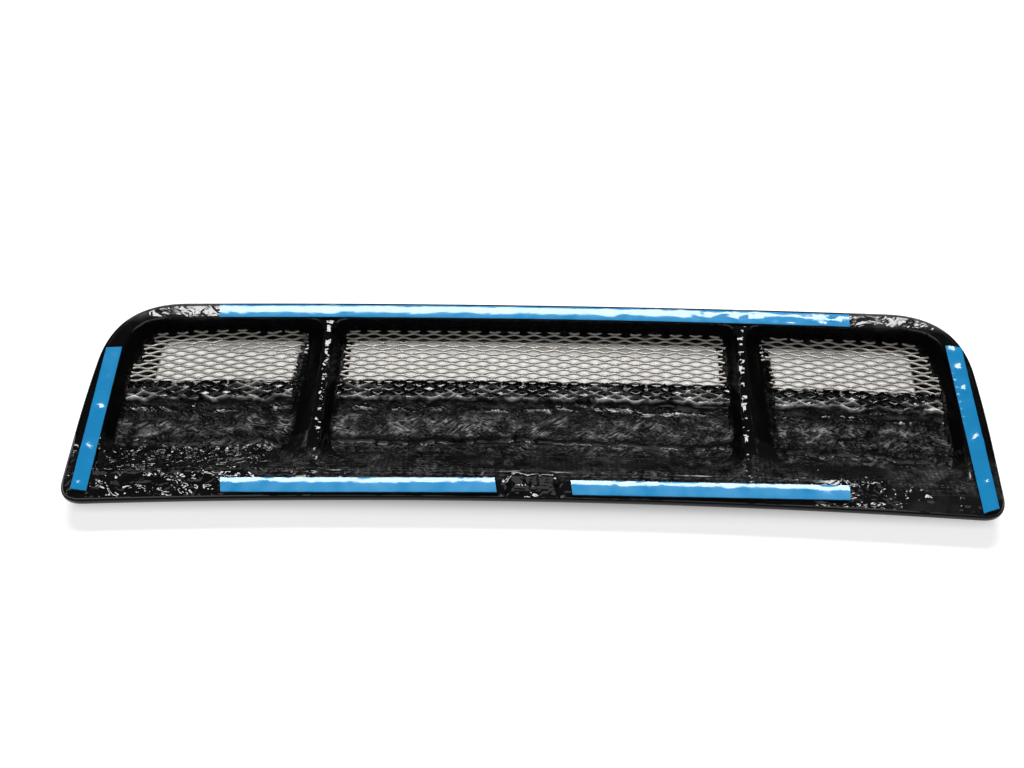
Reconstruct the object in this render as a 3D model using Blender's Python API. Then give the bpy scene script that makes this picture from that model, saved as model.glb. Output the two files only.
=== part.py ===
"""Stick-on grille insert, lying with its outer face down and its taped side up.

One thin hand-laid shell has a flat land all round and three shallow bays. Each bay has a
window that a sheet of expanded aluminium covers from behind, bedded in a bead of resin.
Five strips of foam tape on the land still carry their release liners.
Near means the long edge at -Y and far the shorter edge at +Y. Sizes are in metres.
"""

import math

import bmesh
import bpy
from mathutils import Vector

# Plan of the shell before it is bowed
NEAR_WIDTH = 0.602
WAIST_INSET = 0.0035
FAR_INSET = 0.0115
DEPTH = 0.1576
WAIST_TO_FAR = 0.0796
NEAR_CORNER_REACH = 0.016
WAIST_REACH = 0.026
FAR_CORNER_REACH = 0.049

# Both long edges bow towards the far side
NEAR_BOW = 0.0083
FAR_BOW = 0.0041

# Levels, counted up from the outer faces of the bays
SKIN = 0.0025
BAY_DEPTH = 0.0140
LAND_TOP = SKIN + BAY_DEPTH
CLEARANCE = 0.0003

# The rounded bead round the edge
BEAD_WIDTH = 0.0044
BEAD_DROP = 0.0034
BEAD_ROUND = 0.0018
BEAD_TAPER = 0.4

# Openings of the bays in the land, and how their walls slope to the floor
NEAR_MARGIN = 0.0200
FAR_MARGIN = 0.0141
SIDE_MARGIN = 0.0195
BAY_SIDE_LEAN = 0.0070
RIDGE_AT = 0.140
RIDGE_CREST = 0.0040
OUTER_BEND_TO_FAR = 0.0335
RISE_RUN = 0.0240
FAR_WALL_RUN = 0.0013
CENTER_WALL_RUN_NEAR = 0.0078
CENTER_WALL_RUN_FAR = 0.0050
OUTER_WALL_RUN = 0.0085
FLANK_RUN_NEAR = 0.0240
FLANK_RUN_FAR = 0.0142
BAY_CORNER = 0.0120
BAY_BEND = 0.0120
OUTER_FAR_CORNER = 0.0200

# Windows through the floors
WINDOW_DEPTH = 0.0397
WINDOW_FAR_FRAME = 0.0070
WINDOW_SIDE_FRAME = 0.0040
WINDOW_OUTER_FRAME_NEAR = 0.0150
WINDOW_OUTER_FRAME_FAR = 0.0095
WINDOW_CORNER = 0.0070

# Expanded metal: a diamond's long way, short way, strand and sheet
LONG_WAY = 0.0139
SHORT_WAY = 0.0064
STRAND = 0.0014
SHEET = 0.0011
SHEET_TILT = math.radians(3.0)
SHEET_LAP = 0.0030
SHEET_EDGE = 0.0003

# Resin bead along the near edge of each sheet
RESIN_WIDTH = 0.0080
RESIN_HEIGHT = 0.0021
RESIN_END = 0.0040
RESIN_FLANK_END = 0.0076

# Tape strips
TAPE_WIDTH = 0.0104
FOAM = 0.0010
LINER = 0.0003
TAPE_MARGIN_FAR = 0.0035

# The cut ends run askew: how far a strip's left side is shifted along it at its start and at its end
TOP_TAPE_SKEW = (-0.0004, 0.0002)
LEFT_TAPE_SKEW = (0.0004, -0.0007)
RIGHT_TAPE_SKEW = (-0.0015, 0.0011)
NEAR_LEFT_TAPE_SKEW = (-0.0007, -0.0008)
NEAR_RIGHT_TAPE_SKEW = (-0.0007, 0.0002)

# Where each hand-laid strip starts and ends, counted from the shell's own edges
TOP_TAPE_LEFT_GAP = 0.0730
TOP_TAPE_RIGHT_GAP = 0.0750
LEFT_TAPE_NEAR_GAP = 0.0078
LEFT_TAPE_FAR_GAP = 0.0416
LEFT_TAPE_NEAR_INSET = 0.0134
LEFT_TAPE_FAR_INSET = 0.0097
RIGHT_TAPE_NEAR_GAP = 0.0048
RIGHT_TAPE_FAR_GAP = 0.0304
RIGHT_TAPE_NEAR_INSET = 0.0107
RIGHT_TAPE_FAR_INSET = 0.0103
NEAR_LEFT_END_GAP = 0.1040
NEAR_LEFT_ARCH_GAP = 0.0003
NEAR_LEFT_OUTER_LINE = 0.0134
NEAR_LEFT_INNER_LINE = 0.0167
NEAR_RIGHT_END_GAP = 0.0982
NEAR_RIGHT_ARCH_GAP = 0.0020
NEAR_RIGHT_OUTER_LINE = 0.0157
NEAR_RIGHT_INNER_LINE = 0.0158

# Arch-shaped clearance pressed into the land at the middle of the near edge
ARCH_X = 0.0018
ARCH_WIDTH = 0.0460
ARCH_TOP_WIDTH = 0.0320
ARCH_FAR = 0.0183
ARCH_DROP = 0.0045
ARCH_SIDE_RUN = 0.0050
ARCH_REACH = 0.0060
ARCH_NEAR_REACH = 0.0010
ARCH_KNEE_RUN = 0.55
ARCH_KNEE_DROP = 0.82
ARCH_PAD_LAP = 0.5

# How finely the outlines are divided
EDGE_STEPS = 10
SIDE_STEPS = 2
CORNER_STEPS = 6
BAY_EDGE_STEPS = 6
BAY_SIDE_STEPS = 2
BAY_CORNER_STEPS = 4
ARCH_STEPS = 4
RESIN_FACETS = 5

SHARP_ANGLE = math.radians(40.0)
HALF_TURN = math.radians(45.0)
PASS_THROUGH = 0.0040
WINDOW_PASS = 0.0010
SEAM = 0.0012

# Lines worked out from the sizes above
NEAR_SIDE = NEAR_WIDTH / 2.0
WAIST_SIDE = NEAR_SIDE - WAIST_INSET
FAR_SIDE = NEAR_SIDE - FAR_INSET
WAIST_AT = DEPTH - WAIST_TO_FAR
BRIM_FAR = DEPTH - FAR_MARGIN
FLOOR_NEAR = NEAR_MARGIN + RISE_RUN
FLOOR_FAR = BRIM_FAR - FAR_WALL_RUN
OUTER_BEND_AT = BRIM_FAR - OUTER_BEND_TO_FAR
WINDOW_FAR = FLOOR_FAR - WINDOW_FAR_FRAME
WINDOW_NEAR = WINDOW_FAR - WINDOW_DEPTH
SHEET_NEAR = WINDOW_NEAR - SHEET_LAP


def clear_scene():
    """Remove whatever the open file holds."""
    for old in list(bpy.data.objects):
        bpy.data.objects.remove(old, do_unlink=True)


def make_material(name, color, metallic, roughness, coat=0.0):
    """A Principled surface in one plain colour."""
    material = bpy.data.materials.new(name)
    material.use_nodes = True
    shader = material.node_tree.nodes["Principled BSDF"]
    shader.inputs["Base Color"].default_value = (*color, 1.0)
    shader.inputs["Metallic"].default_value = metallic
    shader.inputs["Roughness"].default_value = roughness
    shader.inputs["Coat Weight"].default_value = coat
    material.diffuse_color = (*color, 1.0)
    return material


# Plan geometry

def lerp(start, end, share):
    """The value that lies a share of the way from start to end."""
    return start + (end - start) * share


def soft_corner(before, corner, after, reach, steps):
    """Points of the blend that leaves one side and meets the next, reach away from the corner."""
    corner = Vector(corner)
    start = corner + (Vector(before) - corner).normalized() * reach
    end = corner + (Vector(after) - corner).normalized() * reach
    points = []
    for step in range(steps + 1):
        share = step / steps
        points.append(lerp(start.lerp(corner, share), corner.lerp(end, share), share))
    return points


def blended_loop(corners, reaches, side_steps, corner_steps):
    """A closed outline through blended corners, with each side cut into its own number of steps."""
    count = len(corners)
    blends = []
    for index, corner in enumerate(corners):
        before = corners[index - 1]
        after = corners[(index + 1) % count]
        blends.append(soft_corner(before, corner, after, reaches[index], corner_steps))
    loop = []
    for index, blend in enumerate(blends):
        loop.extend(blend)
        next_start = blends[(index + 1) % count][0]
        for step in range(1, side_steps[index]):
            loop.append(blend[-1].lerp(next_start, step / side_steps[index]))
    return loop


def grow_loop(loop, distance):
    """Move each point of an anticlockwise outline outwards, square to the outline there."""
    grown = []
    for index, point in enumerate(loop):
        along = loop[(index + 1) % len(loop)] - loop[index - 1]
        outward = Vector((along.y, -along.x)).normalized()
        grown.append(point + outward * distance)
    return grown


def bow(x, y):
    """How far the bow of the two long edges moves a point towards the far side."""
    near = NEAR_BOW * (1.0 - (x / NEAR_SIDE) ** 2)
    far = -FAR_BOW * (x / FAR_SIDE) ** 2
    return lerp(near, far, min(max(y / DEPTH, 0.0), 1.0))


def mirrored(corners):
    """The same corners on the left-hand side, still anticlockwise."""
    return [(-x, y) for x, y in reversed(corners)]


def side_corners():
    """The corners of the right-hand side in plan, from near to far."""
    return [(NEAR_SIDE, 0.0), (WAIST_SIDE, WAIST_AT), (FAR_SIDE, DEPTH)]


def side_at(y):
    """How far from the middle the shell's side lies, at a distance from the near edge."""
    near, waist, far = side_corners()
    start, end = (near, waist) if y < waist[1] else (waist, far)
    return lerp(start[0], end[0], (y - start[1]) / (end[1] - start[1]))


def outline():
    """The shell's outer edge in plan, before the bow."""
    right = side_corners()
    corners = right + mirrored(right)
    right_reaches = [NEAR_CORNER_REACH, WAIST_REACH, FAR_CORNER_REACH]
    reaches = right_reaches + right_reaches[::-1]
    sides = [SIDE_STEPS, SIDE_STEPS, EDGE_STEPS] * 2
    return blended_loop(corners, reaches, sides, CORNER_STEPS)


def frame_shift():
    """The move along Y that puts the middle of the bowed outline over the origin."""
    heights = [point.y + bow(point.x, point.y) for point in outline()]
    return -(min(heights) + max(heights)) / 2.0


SHIFT_Y = frame_shift()


def placed(point, level):
    """A plan point as it lies in the bowed part, at a level."""
    return Vector((point[0], point[1] + bow(point[0], point[1]) + SHIFT_Y, level))


# Solids

def shade(mesh):
    """Shade round stretches smooth and keep real edges sharp."""
    mesh.shade_smooth()
    mesh.set_sharp_from_angle(angle=SHARP_ANGLE)


def add_object(name, mesh, material):
    """Put a finished mesh into the scene under the sub-part's name."""
    shade(mesh)
    part = bpy.data.objects.new(name, mesh)
    part.data.materials.append(material)
    bpy.context.scene.collection.objects.link(part)
    return part


def loft(name, rings):
    """A closed solid through rings of equally many points, the lowest ring first, capped at both ends."""
    shape = bmesh.new()
    levels = [[shape.verts.new(point) for point in ring] for ring in rings]
    count = len(rings[0])
    for lower, upper in zip(levels, levels[1:]):
        for index in range(count):
            after = (index + 1) % count
            shape.faces.new((lower[index], lower[after], upper[after], upper[index]))
    shape.faces.new(list(reversed(levels[0])))
    shape.faces.new(levels[-1])
    bmesh.ops.recalc_face_normals(shape, faces=shape.faces)
    mesh = bpy.data.meshes.new(name)
    shape.to_mesh(mesh)
    shape.free()
    return mesh


def ring_at(loop, level):
    """A plan outline laid into the bowed part at a level."""
    return [placed(point, level) for point in loop]


def combine(target, tools, operation):
    """Join the tool solids to the target, or cut them out of it, and delete them."""
    for tool in tools:
        modifier = target.modifiers.new(tool.name, "BOOLEAN")
        modifier.operation = operation
        modifier.solver = "EXACT"
        modifier.object = tool
    bpy.context.view_layer.update()
    graph = bpy.context.evaluated_depsgraph_get()
    mesh = bpy.data.meshes.new_from_object(target.evaluated_get(graph))
    target.modifiers.clear()
    target.data = mesh
    for tool in tools:
        bpy.data.objects.remove(tool, do_unlink=True)


def land_plate(material):
    """The flat land with the bead that hangs from its outer edge."""
    loop = outline()
    under = LAND_TOP - SKIN
    foot = under - BEAD_DROP
    step = BEAD_ROUND * (1.0 - math.cos(HALF_TURN))
    section = [
        (BEAD_WIDTH + BEAD_DROP * BEAD_TAPER, under),
        (BEAD_WIDTH, foot),
        (BEAD_ROUND, foot),
        (step, foot + step),
        (0.0, foot + BEAD_ROUND),
        (0.0, LAND_TOP - BEAD_ROUND),
        (step, LAND_TOP - step),
        (BEAD_ROUND, LAND_TOP),
    ]
    rings = [ring_at(grow_loop(loop, -inset), level) for inset, level in section]
    return add_object("shell", loft("shell", rings), material)


# Bays

def side_x(y):
    """Where the outer wall of an outer bay meets the land, on the right, at a distance from the near edge."""
    edge = NEAR_SIDE - SIDE_MARGIN
    return edge - BAY_SIDE_LEAN * max(y - OUTER_BEND_AT, 0.0) / OUTER_BEND_TO_FAR


def bay_corners(which, at_floor):
    """Plan corners of a bay, where it opens in the land or where its walls reach the floor."""
    near = FLOOR_NEAR if at_floor else NEAR_MARGIN
    far = FLOOR_FAR if at_floor else BRIM_FAR
    ridge = RIDGE_AT + RIDGE_CREST / 2.0
    if which == "center":
        crest = RIDGE_AT - RIDGE_CREST / 2.0
        low = crest - (CENTER_WALL_RUN_NEAR if at_floor else 0.0)
        high = crest - (CENTER_WALL_RUN_FAR if at_floor else 0.0)
        return [(-low, near), (low, near), (high, far), (-high, far)]
    run = OUTER_WALL_RUN if at_floor else 0.0
    near_flank = FLANK_RUN_NEAR if at_floor else 0.0
    far_flank = FLANK_RUN_FAR if at_floor else 0.0
    bend = OUTER_BEND_AT
    corners = [
        (ridge + near_flank, near),
        (side_x(near) - run, near),
        (side_x(bend) - run, bend),
        (side_x(BRIM_FAR) - run, far),
        (ridge + far_flank, far),
    ]
    if which == "left":
        return mirrored(corners)
    return corners


def bay_loop(which, at_floor):
    """Plan outline of a bay at the land or at the floor, always with the same number of points."""
    corners = bay_corners(which, at_floor)
    if which == "center":
        reaches = [BAY_CORNER] * 4
        sides = [BAY_EDGE_STEPS * 2, BAY_SIDE_STEPS, BAY_EDGE_STEPS * 2, BAY_SIDE_STEPS]
    else:
        reaches = [BAY_CORNER, BAY_CORNER, BAY_BEND, OUTER_FAR_CORNER, BAY_CORNER]
        sides = [BAY_EDGE_STEPS, BAY_SIDE_STEPS, 1, BAY_EDGE_STEPS, BAY_SIDE_STEPS]
        if which == "left":
            reaches = reaches[::-1]
            sides = sides[-2::-1] + sides[-1:]
    return blended_loop(corners, reaches, sides, BAY_CORNER_STEPS)


def wall_profile():
    """Shares of the run and of the depth that give the wall its rounded brim and foot."""
    return [(0.0, 0.0), (0.05, 0.012), (0.13, 0.09), (0.85, 0.90), (0.94, 0.985), (1.0, 1.0)]


def bay_rings(which, grow, drop):
    """Rings from the floor of a bay up to its brim, grown and lowered to give the outer skin."""
    brim = grow_loop(bay_loop(which, False), grow)
    floor = grow_loop(bay_loop(which, True), grow)
    rings = []
    for run_share, depth_share in reversed(wall_profile()):
        loop = [lerp(top, low, run_share) for top, low in zip(brim, floor)]
        rings.append(ring_at(loop, LAND_TOP - drop - BAY_DEPTH * depth_share))
    return rings, brim


def bay_body(which):
    """The solid that carries the outer skin of a bay, sunk a seam deep into the land."""
    rings, brim = bay_rings(which, SKIN, SKIN)
    rings.append(ring_at(brim, LAND_TOP - SKIN + SEAM))
    return add_object("bay_body", loft("bay_body", rings), None)


def bay_cutter(which):
    """The solid that hollows a bay out from the taped side."""
    rings, brim = bay_rings(which, 0.0, 0.0)
    rings.append(ring_at(brim, LAND_TOP + PASS_THROUGH))
    return add_object("bay_cutter", loft("bay_cutter", rings), None)


# Windows

def window_corners(which):
    """Plan corners of the window in a bay's floor."""
    corners = bay_corners(which, True)
    low = WINDOW_NEAR
    high = WINDOW_FAR
    if which == "center":
        side = corners[1][0] - WINDOW_SIDE_FRAME
        return [(-side, low), (side, low), (side, high), (-side, high)]
    if which == "left":
        return mirrored(window_corners("right"))
    ridge_near, outer_near, outer_bend, outer_far, ridge_far = corners
    rise = (low - ridge_near[1]) / (ridge_far[1] - ridge_near[1])
    inner_low = lerp(ridge_near[0], ridge_far[0], rise) + WINDOW_SIDE_FRAME
    inner_high = ridge_far[0] + WINDOW_SIDE_FRAME
    outer_low = outer_bend[0] - WINDOW_OUTER_FRAME_NEAR
    outer_high = outer_far[0] - WINDOW_OUTER_FRAME_FAR
    return [(inner_low, low), (outer_low, low), (outer_high, high), (inner_high, high)]


def window_cutter(which):
    """The prism that cuts a window through the floor."""
    loop = blended_loop(window_corners(which), [WINDOW_CORNER] * 4, [BAY_EDGE_STEPS, 1] * 2, BAY_CORNER_STEPS)
    rings = [ring_at(loop, -PASS_THROUGH), ring_at(loop, SKIN + WINDOW_PASS)]
    return add_object("window_cutter", loft("window_cutter", rings), None)


# Arch at the middle of the near edge

def arch_loop(near, shrink):
    """Plan outline of the arch, from a line near the edge to its rounded far side."""
    half_near = ARCH_WIDTH / 2.0 - shrink
    half_far = ARCH_TOP_WIDTH / 2.0 - shrink
    far = ARCH_FAR - shrink
    corners = [
        (ARCH_X - half_near, near),
        (ARCH_X + half_near, near),
        (ARCH_X + half_far, far),
        (ARCH_X - half_far, far),
    ]
    reaches = [ARCH_NEAR_REACH, ARCH_NEAR_REACH, ARCH_REACH, ARCH_REACH]
    return blended_loop(corners, reaches, [ARCH_STEPS, 1] * 2, BAY_CORNER_STEPS)


def arch_body():
    """The pad that keeps the skin whole under the arch."""
    near = BEAD_ROUND
    low = LAND_TOP - ARCH_DROP - SKIN
    rings = [
        ring_at(arch_loop(near, ARCH_SIDE_RUN - SKIN), low),
        ring_at(arch_loop(near, -SKIN * ARCH_PAD_LAP), LAND_TOP - SKIN + SEAM),
    ]
    return add_object("arch_body", loft("arch_body", rings), None)


def arch_cutter():
    """The solid that presses the arch into the land, open at the near edge."""
    near = -PASS_THROUGH
    rings = [
        ring_at(arch_loop(near, ARCH_SIDE_RUN), LAND_TOP - ARCH_DROP),
        ring_at(arch_loop(near, ARCH_SIDE_RUN * ARCH_KNEE_RUN), LAND_TOP - ARCH_DROP * ARCH_KNEE_DROP),
        ring_at(arch_loop(near, 0.0), LAND_TOP),
        ring_at(arch_loop(near, 0.0), LAND_TOP + PASS_THROUGH),
    ]
    return add_object("arch_cutter", loft("arch_cutter", rings), None)


def build_shell(material):
    """The whole moulding: land, bead, three bays, windows and arch."""
    shell = land_plate(material)
    sides = ("left", "center", "right")
    combine(shell, [bay_body(which) for which in sides] + [arch_body()], "UNION")
    combine(shell, [bay_cutter(which) for which in sides] + [arch_cutter()], "DIFFERENCE")
    combine(shell, [window_cutter(which) for which in sides], "DIFFERENCE")
    shade(shell.data)


# Expanded metal sheets

def inside(loop, point):
    """Whether a plan point lies inside a closed outline."""
    odd = False
    for index, here in enumerate(loop):
        there = loop[index - 1]
        if (here.y > point.y) != (there.y > point.y):
            cross = here.x + (there.x - here.x) * (point.y - here.y) / (there.y - here.y)
            if point.x < cross:
                odd = not odd
    return odd


def sheet_loop(which):
    """The edge within which the sheet's strands lie: the floor's walls and the resin bead."""
    floor = bay_loop(which, True)
    return [point.copy() for point in grow_loop(floor, -SHEET_EDGE)]


def sheet_turn(which):
    """The slight turn with which each sheet was laid in."""
    return {"left": SHEET_TILT, "center": 0.0, "right": -SHEET_TILT}[which]


def build_sheet(which, material):
    """A lattice of flat strands and bonds, then thickened to the sheet."""
    area = sheet_loop(which)
    xs = [point.x for point in area]
    middle = Vector(((min(xs) + max(xs)) / 2.0, (SHEET_NEAR + BRIM_FAR) / 2.0))
    cosine = math.cos(sheet_turn(which))
    sine = math.sin(sheet_turn(which))
    slope = math.hypot(LONG_WAY, SHORT_WAY)
    hole = 1.0 - STRAND * slope / (LONG_WAY * SHORT_WAY)
    half_long = LONG_WAY / 2.0
    half_short = SHORT_WAY / 2.0

    def plan(x, y):
        return Vector((middle.x + x * cosine - y * sine, middle.y + x * sine + y * cosine))

    def tip(cell, side):
        key = (cell, side)
        if key not in tips:
            x = cell[0] * half_long + side[0] * half_long * hole
            y = cell[1] * half_short + side[1] * half_short * hole
            tips[key] = shape.verts.new(placed(plan(x, y), SKIN + CLEARANCE))
        return tips[key]

    right, left, up, down = (1, 0), (-1, 0), (0, 1), (0, -1)
    across = int((max(xs) - min(xs)) / LONG_WAY) + 3
    deep = int(DEPTH / SHORT_WAY)
    cells = set()
    for column in range(-across, across + 1):
        for row in range(-deep, deep + 1):
            if (column + row) % 2:
                continue
            span = 2.0 - hole
            reach = [(span, 0), (-span, 0), (0, span), (0, -span)]
            corners = [plan((column + x) * half_long, (row + y) * half_short) for x, y in reach]
            if all(inside(area, corner) and corner.y > SHEET_NEAR for corner in corners):
                cells.add((column, row))

    shape = bmesh.new()
    tips = {}
    strands = set()
    bonds = set()
    for column, row in cells:
        strands.update({((column, row), 1), ((column, row), -1)})
        strands.update({((column - 1, row - 1), 1), ((column - 1, row + 1), -1)})
        bonds.update({(column + 1, row), (column - 1, row), (column, row + 1), (column, row - 1)})
    for (column, row), lean in sorted(strands):
        here = (column, row)
        there = (column + 1, row + lean)
        if lean > 0:
            corners = (tip(here, up), tip(here, right), tip(there, down), tip(there, left))
        else:
            corners = (tip(here, right), tip(here, down), tip(there, left), tip(there, up))
        shape.faces.new(corners)
    for column, row in sorted(bonds):
        corners = (
            tip((column - 1, row), right),
            tip((column, row - 1), up),
            tip((column + 1, row), left),
            tip((column, row + 1), down),
        )
        shape.faces.new(corners)
    bmesh.ops.recalc_face_normals(shape, faces=shape.faces)
    bottom = list(shape.faces)
    if bottom[0].normal.z > 0.0:
        bmesh.ops.reverse_faces(shape, faces=bottom)
    grown = bmesh.ops.extrude_face_region(shape, geom=bottom, use_keep_orig=True)
    raised = [item for item in grown["geom"] if isinstance(item, bmesh.types.BMVert)]
    bmesh.ops.translate(shape, vec=Vector((0.0, 0.0, SHEET)), verts=raised)
    bmesh.ops.recalc_face_normals(shape, faces=shape.faces)
    mesh = bpy.data.meshes.new("mesh_" + which)
    shape.to_mesh(mesh)
    shape.free()
    add_object("mesh_" + which, mesh, material)


# Resin beads

def build_resin(which, material):
    """A low rounded fillet of resin on the floor along the near edge of a sheet."""
    floor = bay_corners(which, True)
    near_y = SHEET_NEAR - CLEARANCE - RESIN_WIDTH
    left = min(x for x, y in floor) + RESIN_END
    right = max(x for x, y in floor) - RESIN_END
    if which == "left":
        right -= RESIN_FLANK_END
    if which == "right":
        left += RESIN_FLANK_END
    rings = []
    for step in range(BAY_EDGE_STEPS * 2 + 1):
        x = lerp(left, right, step / (BAY_EDGE_STEPS * 2))
        ring = []
        for turn in range(RESIN_FACETS + 1):
            angle = math.pi * turn / RESIN_FACETS
            across = near_y + RESIN_WIDTH * (1.0 - math.cos(angle)) / 2.0
            level = SKIN + CLEARANCE + RESIN_HEIGHT * math.sin(angle)
            ring.append(placed((x, across), level))
        rings.append(ring)
    add_object("resin_bead_" + which, loft("resin_bead_" + which, rings), material)


# Tape and liners

def strip_ring(start, end, share, low, high, skew):
    """One cross-section of a strip, at a share of its length."""
    start = Vector(start)
    end = Vector(end)
    along = (end - start).normalized()
    square = Vector((-along.y, along.x))
    middle = start.lerp(end, share)
    shift = lerp(skew[0], skew[1], share)
    ring = []
    for side, level in ((-1, low), (1, low), (1, high), (-1, high)):
        point = middle + square * (side * TAPE_WIDTH / 2.0) + along * (side * shift)
        ring.append(Vector((point.x, point.y, level)))
    return ring


def build_strip(name, start, end, steps, skew, follow_bow, materials):
    """A foam strip on the land and the release liner on top of it."""
    foam_low = LAND_TOP + CLEARANCE
    foam_high = foam_low + FOAM
    liner_low = foam_high + CLEARANCE
    layers = (
        ("foam_tape_" + name, foam_low, foam_high, materials[0]),
        ("liner_" + name, liner_low, liner_low + LINER, materials[1]),
    )
    for title, low, high, material in layers:
        rings = []
        for step in range(steps + 1):
            ring = strip_ring(start, end, step / steps, low, high, skew)
            if follow_bow:
                ring = [placed((point.x, point.y), point.z) for point in ring]
            else:
                ring = [point + Vector((0.0, SHIFT_Y, 0.0)) for point in ring]
            rings.append(ring)
        add_object(title, loft(title, rings), material)


def side_strip_ends(side, near_gap, near_inset, far_gap, far_inset):
    """Both ends of the middle line of a side strip, on the left with side -1 or the right with side 1."""
    far = DEPTH - far_gap
    start = (side * (side_at(near_gap) - near_inset), near_gap)
    return start, (side * (side_at(far) - far_inset), far)


def build_strips(foam, liner):
    """All five strips, laid by hand and so not quite square to the shell."""
    pair = (foam, liner)
    top = DEPTH - TAPE_MARGIN_FAR - TAPE_WIDTH / 2.0
    start = (TOP_TAPE_LEFT_GAP - FAR_SIDE, top)
    end = (FAR_SIDE - TOP_TAPE_RIGHT_GAP, top)
    build_strip("top", start, end, EDGE_STEPS * 2, TOP_TAPE_SKEW, True, pair)
    start, end = side_strip_ends(
        -1, LEFT_TAPE_NEAR_GAP, LEFT_TAPE_NEAR_INSET, LEFT_TAPE_FAR_GAP, LEFT_TAPE_FAR_INSET)
    build_strip("left", start, end, 1, LEFT_TAPE_SKEW, False, pair)
    start, end = side_strip_ends(
        1, RIGHT_TAPE_NEAR_GAP, RIGHT_TAPE_NEAR_INSET, RIGHT_TAPE_FAR_GAP, RIGHT_TAPE_FAR_INSET)
    build_strip("right", start, end, 1, RIGHT_TAPE_SKEW, False, pair)
    arch_left = ARCH_X - ARCH_WIDTH / 2.0
    arch_right = ARCH_X + ARCH_WIDTH / 2.0
    start = (NEAR_LEFT_END_GAP - NEAR_SIDE, NEAR_LEFT_OUTER_LINE)
    end = (arch_left - NEAR_LEFT_ARCH_GAP, NEAR_LEFT_INNER_LINE)
    build_strip("bottom_left", start, end, 1, NEAR_LEFT_TAPE_SKEW, False, pair)
    start = (arch_right + NEAR_RIGHT_ARCH_GAP, NEAR_RIGHT_INNER_LINE)
    end = (NEAR_SIDE - NEAR_RIGHT_END_GAP, NEAR_RIGHT_OUTER_LINE)
    build_strip("bottom_right", start, end, 1, NEAR_RIGHT_TAPE_SKEW, False, pair)


def main():
    clear_scene()
    composite = make_material("black_composite", (0.012, 0.012, 0.013), 0.0, 0.25, 0.6)
    aluminium = make_material("aluminium_mesh", (0.62, 0.60, 0.57), 1.0, 0.35)
    resin = make_material("black_resin", (0.010, 0.010, 0.011), 0.0, 0.15, 0.8)
    foam = make_material("black_foam", (0.015, 0.017, 0.020), 0.0, 0.85)
    liner = make_material("blue_liner", (0.045, 0.270, 0.560), 0.0, 0.30, 0.3)
    build_shell(composite)
    for which in ("left", "center", "right"):
        build_sheet(which, aluminium)
        build_resin(which, resin)
    build_strips(foam, liner)


main()
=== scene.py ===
"""Looks of a stick-on grille insert seen from its taped side.

The packed part gives the frame. This script lays the hand-made surfaces over it: the
laminate with its creases and resin, the expanded metal, the blue release film and the
studio. Plan points are counted from the near edge, before the two long edges are bowed.
Sizes are in metres.
"""

import math
import random
from typing import NamedTuple

import bpy
import numpy as np
from mathutils import Matrix, Vector, noise


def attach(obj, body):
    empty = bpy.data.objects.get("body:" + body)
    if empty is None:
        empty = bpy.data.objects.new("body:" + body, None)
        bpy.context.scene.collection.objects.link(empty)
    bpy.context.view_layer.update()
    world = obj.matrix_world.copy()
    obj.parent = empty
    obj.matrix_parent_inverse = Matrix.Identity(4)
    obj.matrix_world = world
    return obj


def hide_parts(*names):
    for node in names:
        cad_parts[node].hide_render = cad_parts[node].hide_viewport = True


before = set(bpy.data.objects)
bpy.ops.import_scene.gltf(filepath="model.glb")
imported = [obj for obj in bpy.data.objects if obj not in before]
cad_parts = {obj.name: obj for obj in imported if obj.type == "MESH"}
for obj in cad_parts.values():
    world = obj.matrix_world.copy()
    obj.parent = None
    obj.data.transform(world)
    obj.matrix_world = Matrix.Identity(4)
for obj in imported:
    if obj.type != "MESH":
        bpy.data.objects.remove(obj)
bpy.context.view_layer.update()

bl_info = {
    "name": "Grille insert",
    "version": (1, 0, 0),
    "blender": (4, 5, 0),
    "location": "View3D > Sidebar > Grille insert",
    "description": "Builds the looks of a hand-laid grille insert with expanded metal and taped edges",
    "category": "Object",
}

SIDES = ("left", "center", "right")
BODY = "root"


# Settings

def length(name, default, description):
    """A length in metres."""
    return bpy.props.FloatProperty(
        name=name, description=description, default=default, unit="LENGTH", subtype="DISTANCE", precision=5)


def share(name, default, description):
    """A plain number without a unit."""
    return bpy.props.FloatProperty(name=name, description=description, default=default, precision=3)


def turn(name, default, description):
    """An angle that is shown in degrees."""
    return bpy.props.FloatProperty(
        name=name, description=description, default=math.radians(default), unit="ROTATION", subtype="ANGLE")


def color(name, default, description):
    """A linear colour."""
    return bpy.props.FloatVectorProperty(
        name=name, description=description, default=default, size=3, min=0.0, max=1.0, subtype="COLOR")


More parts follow.
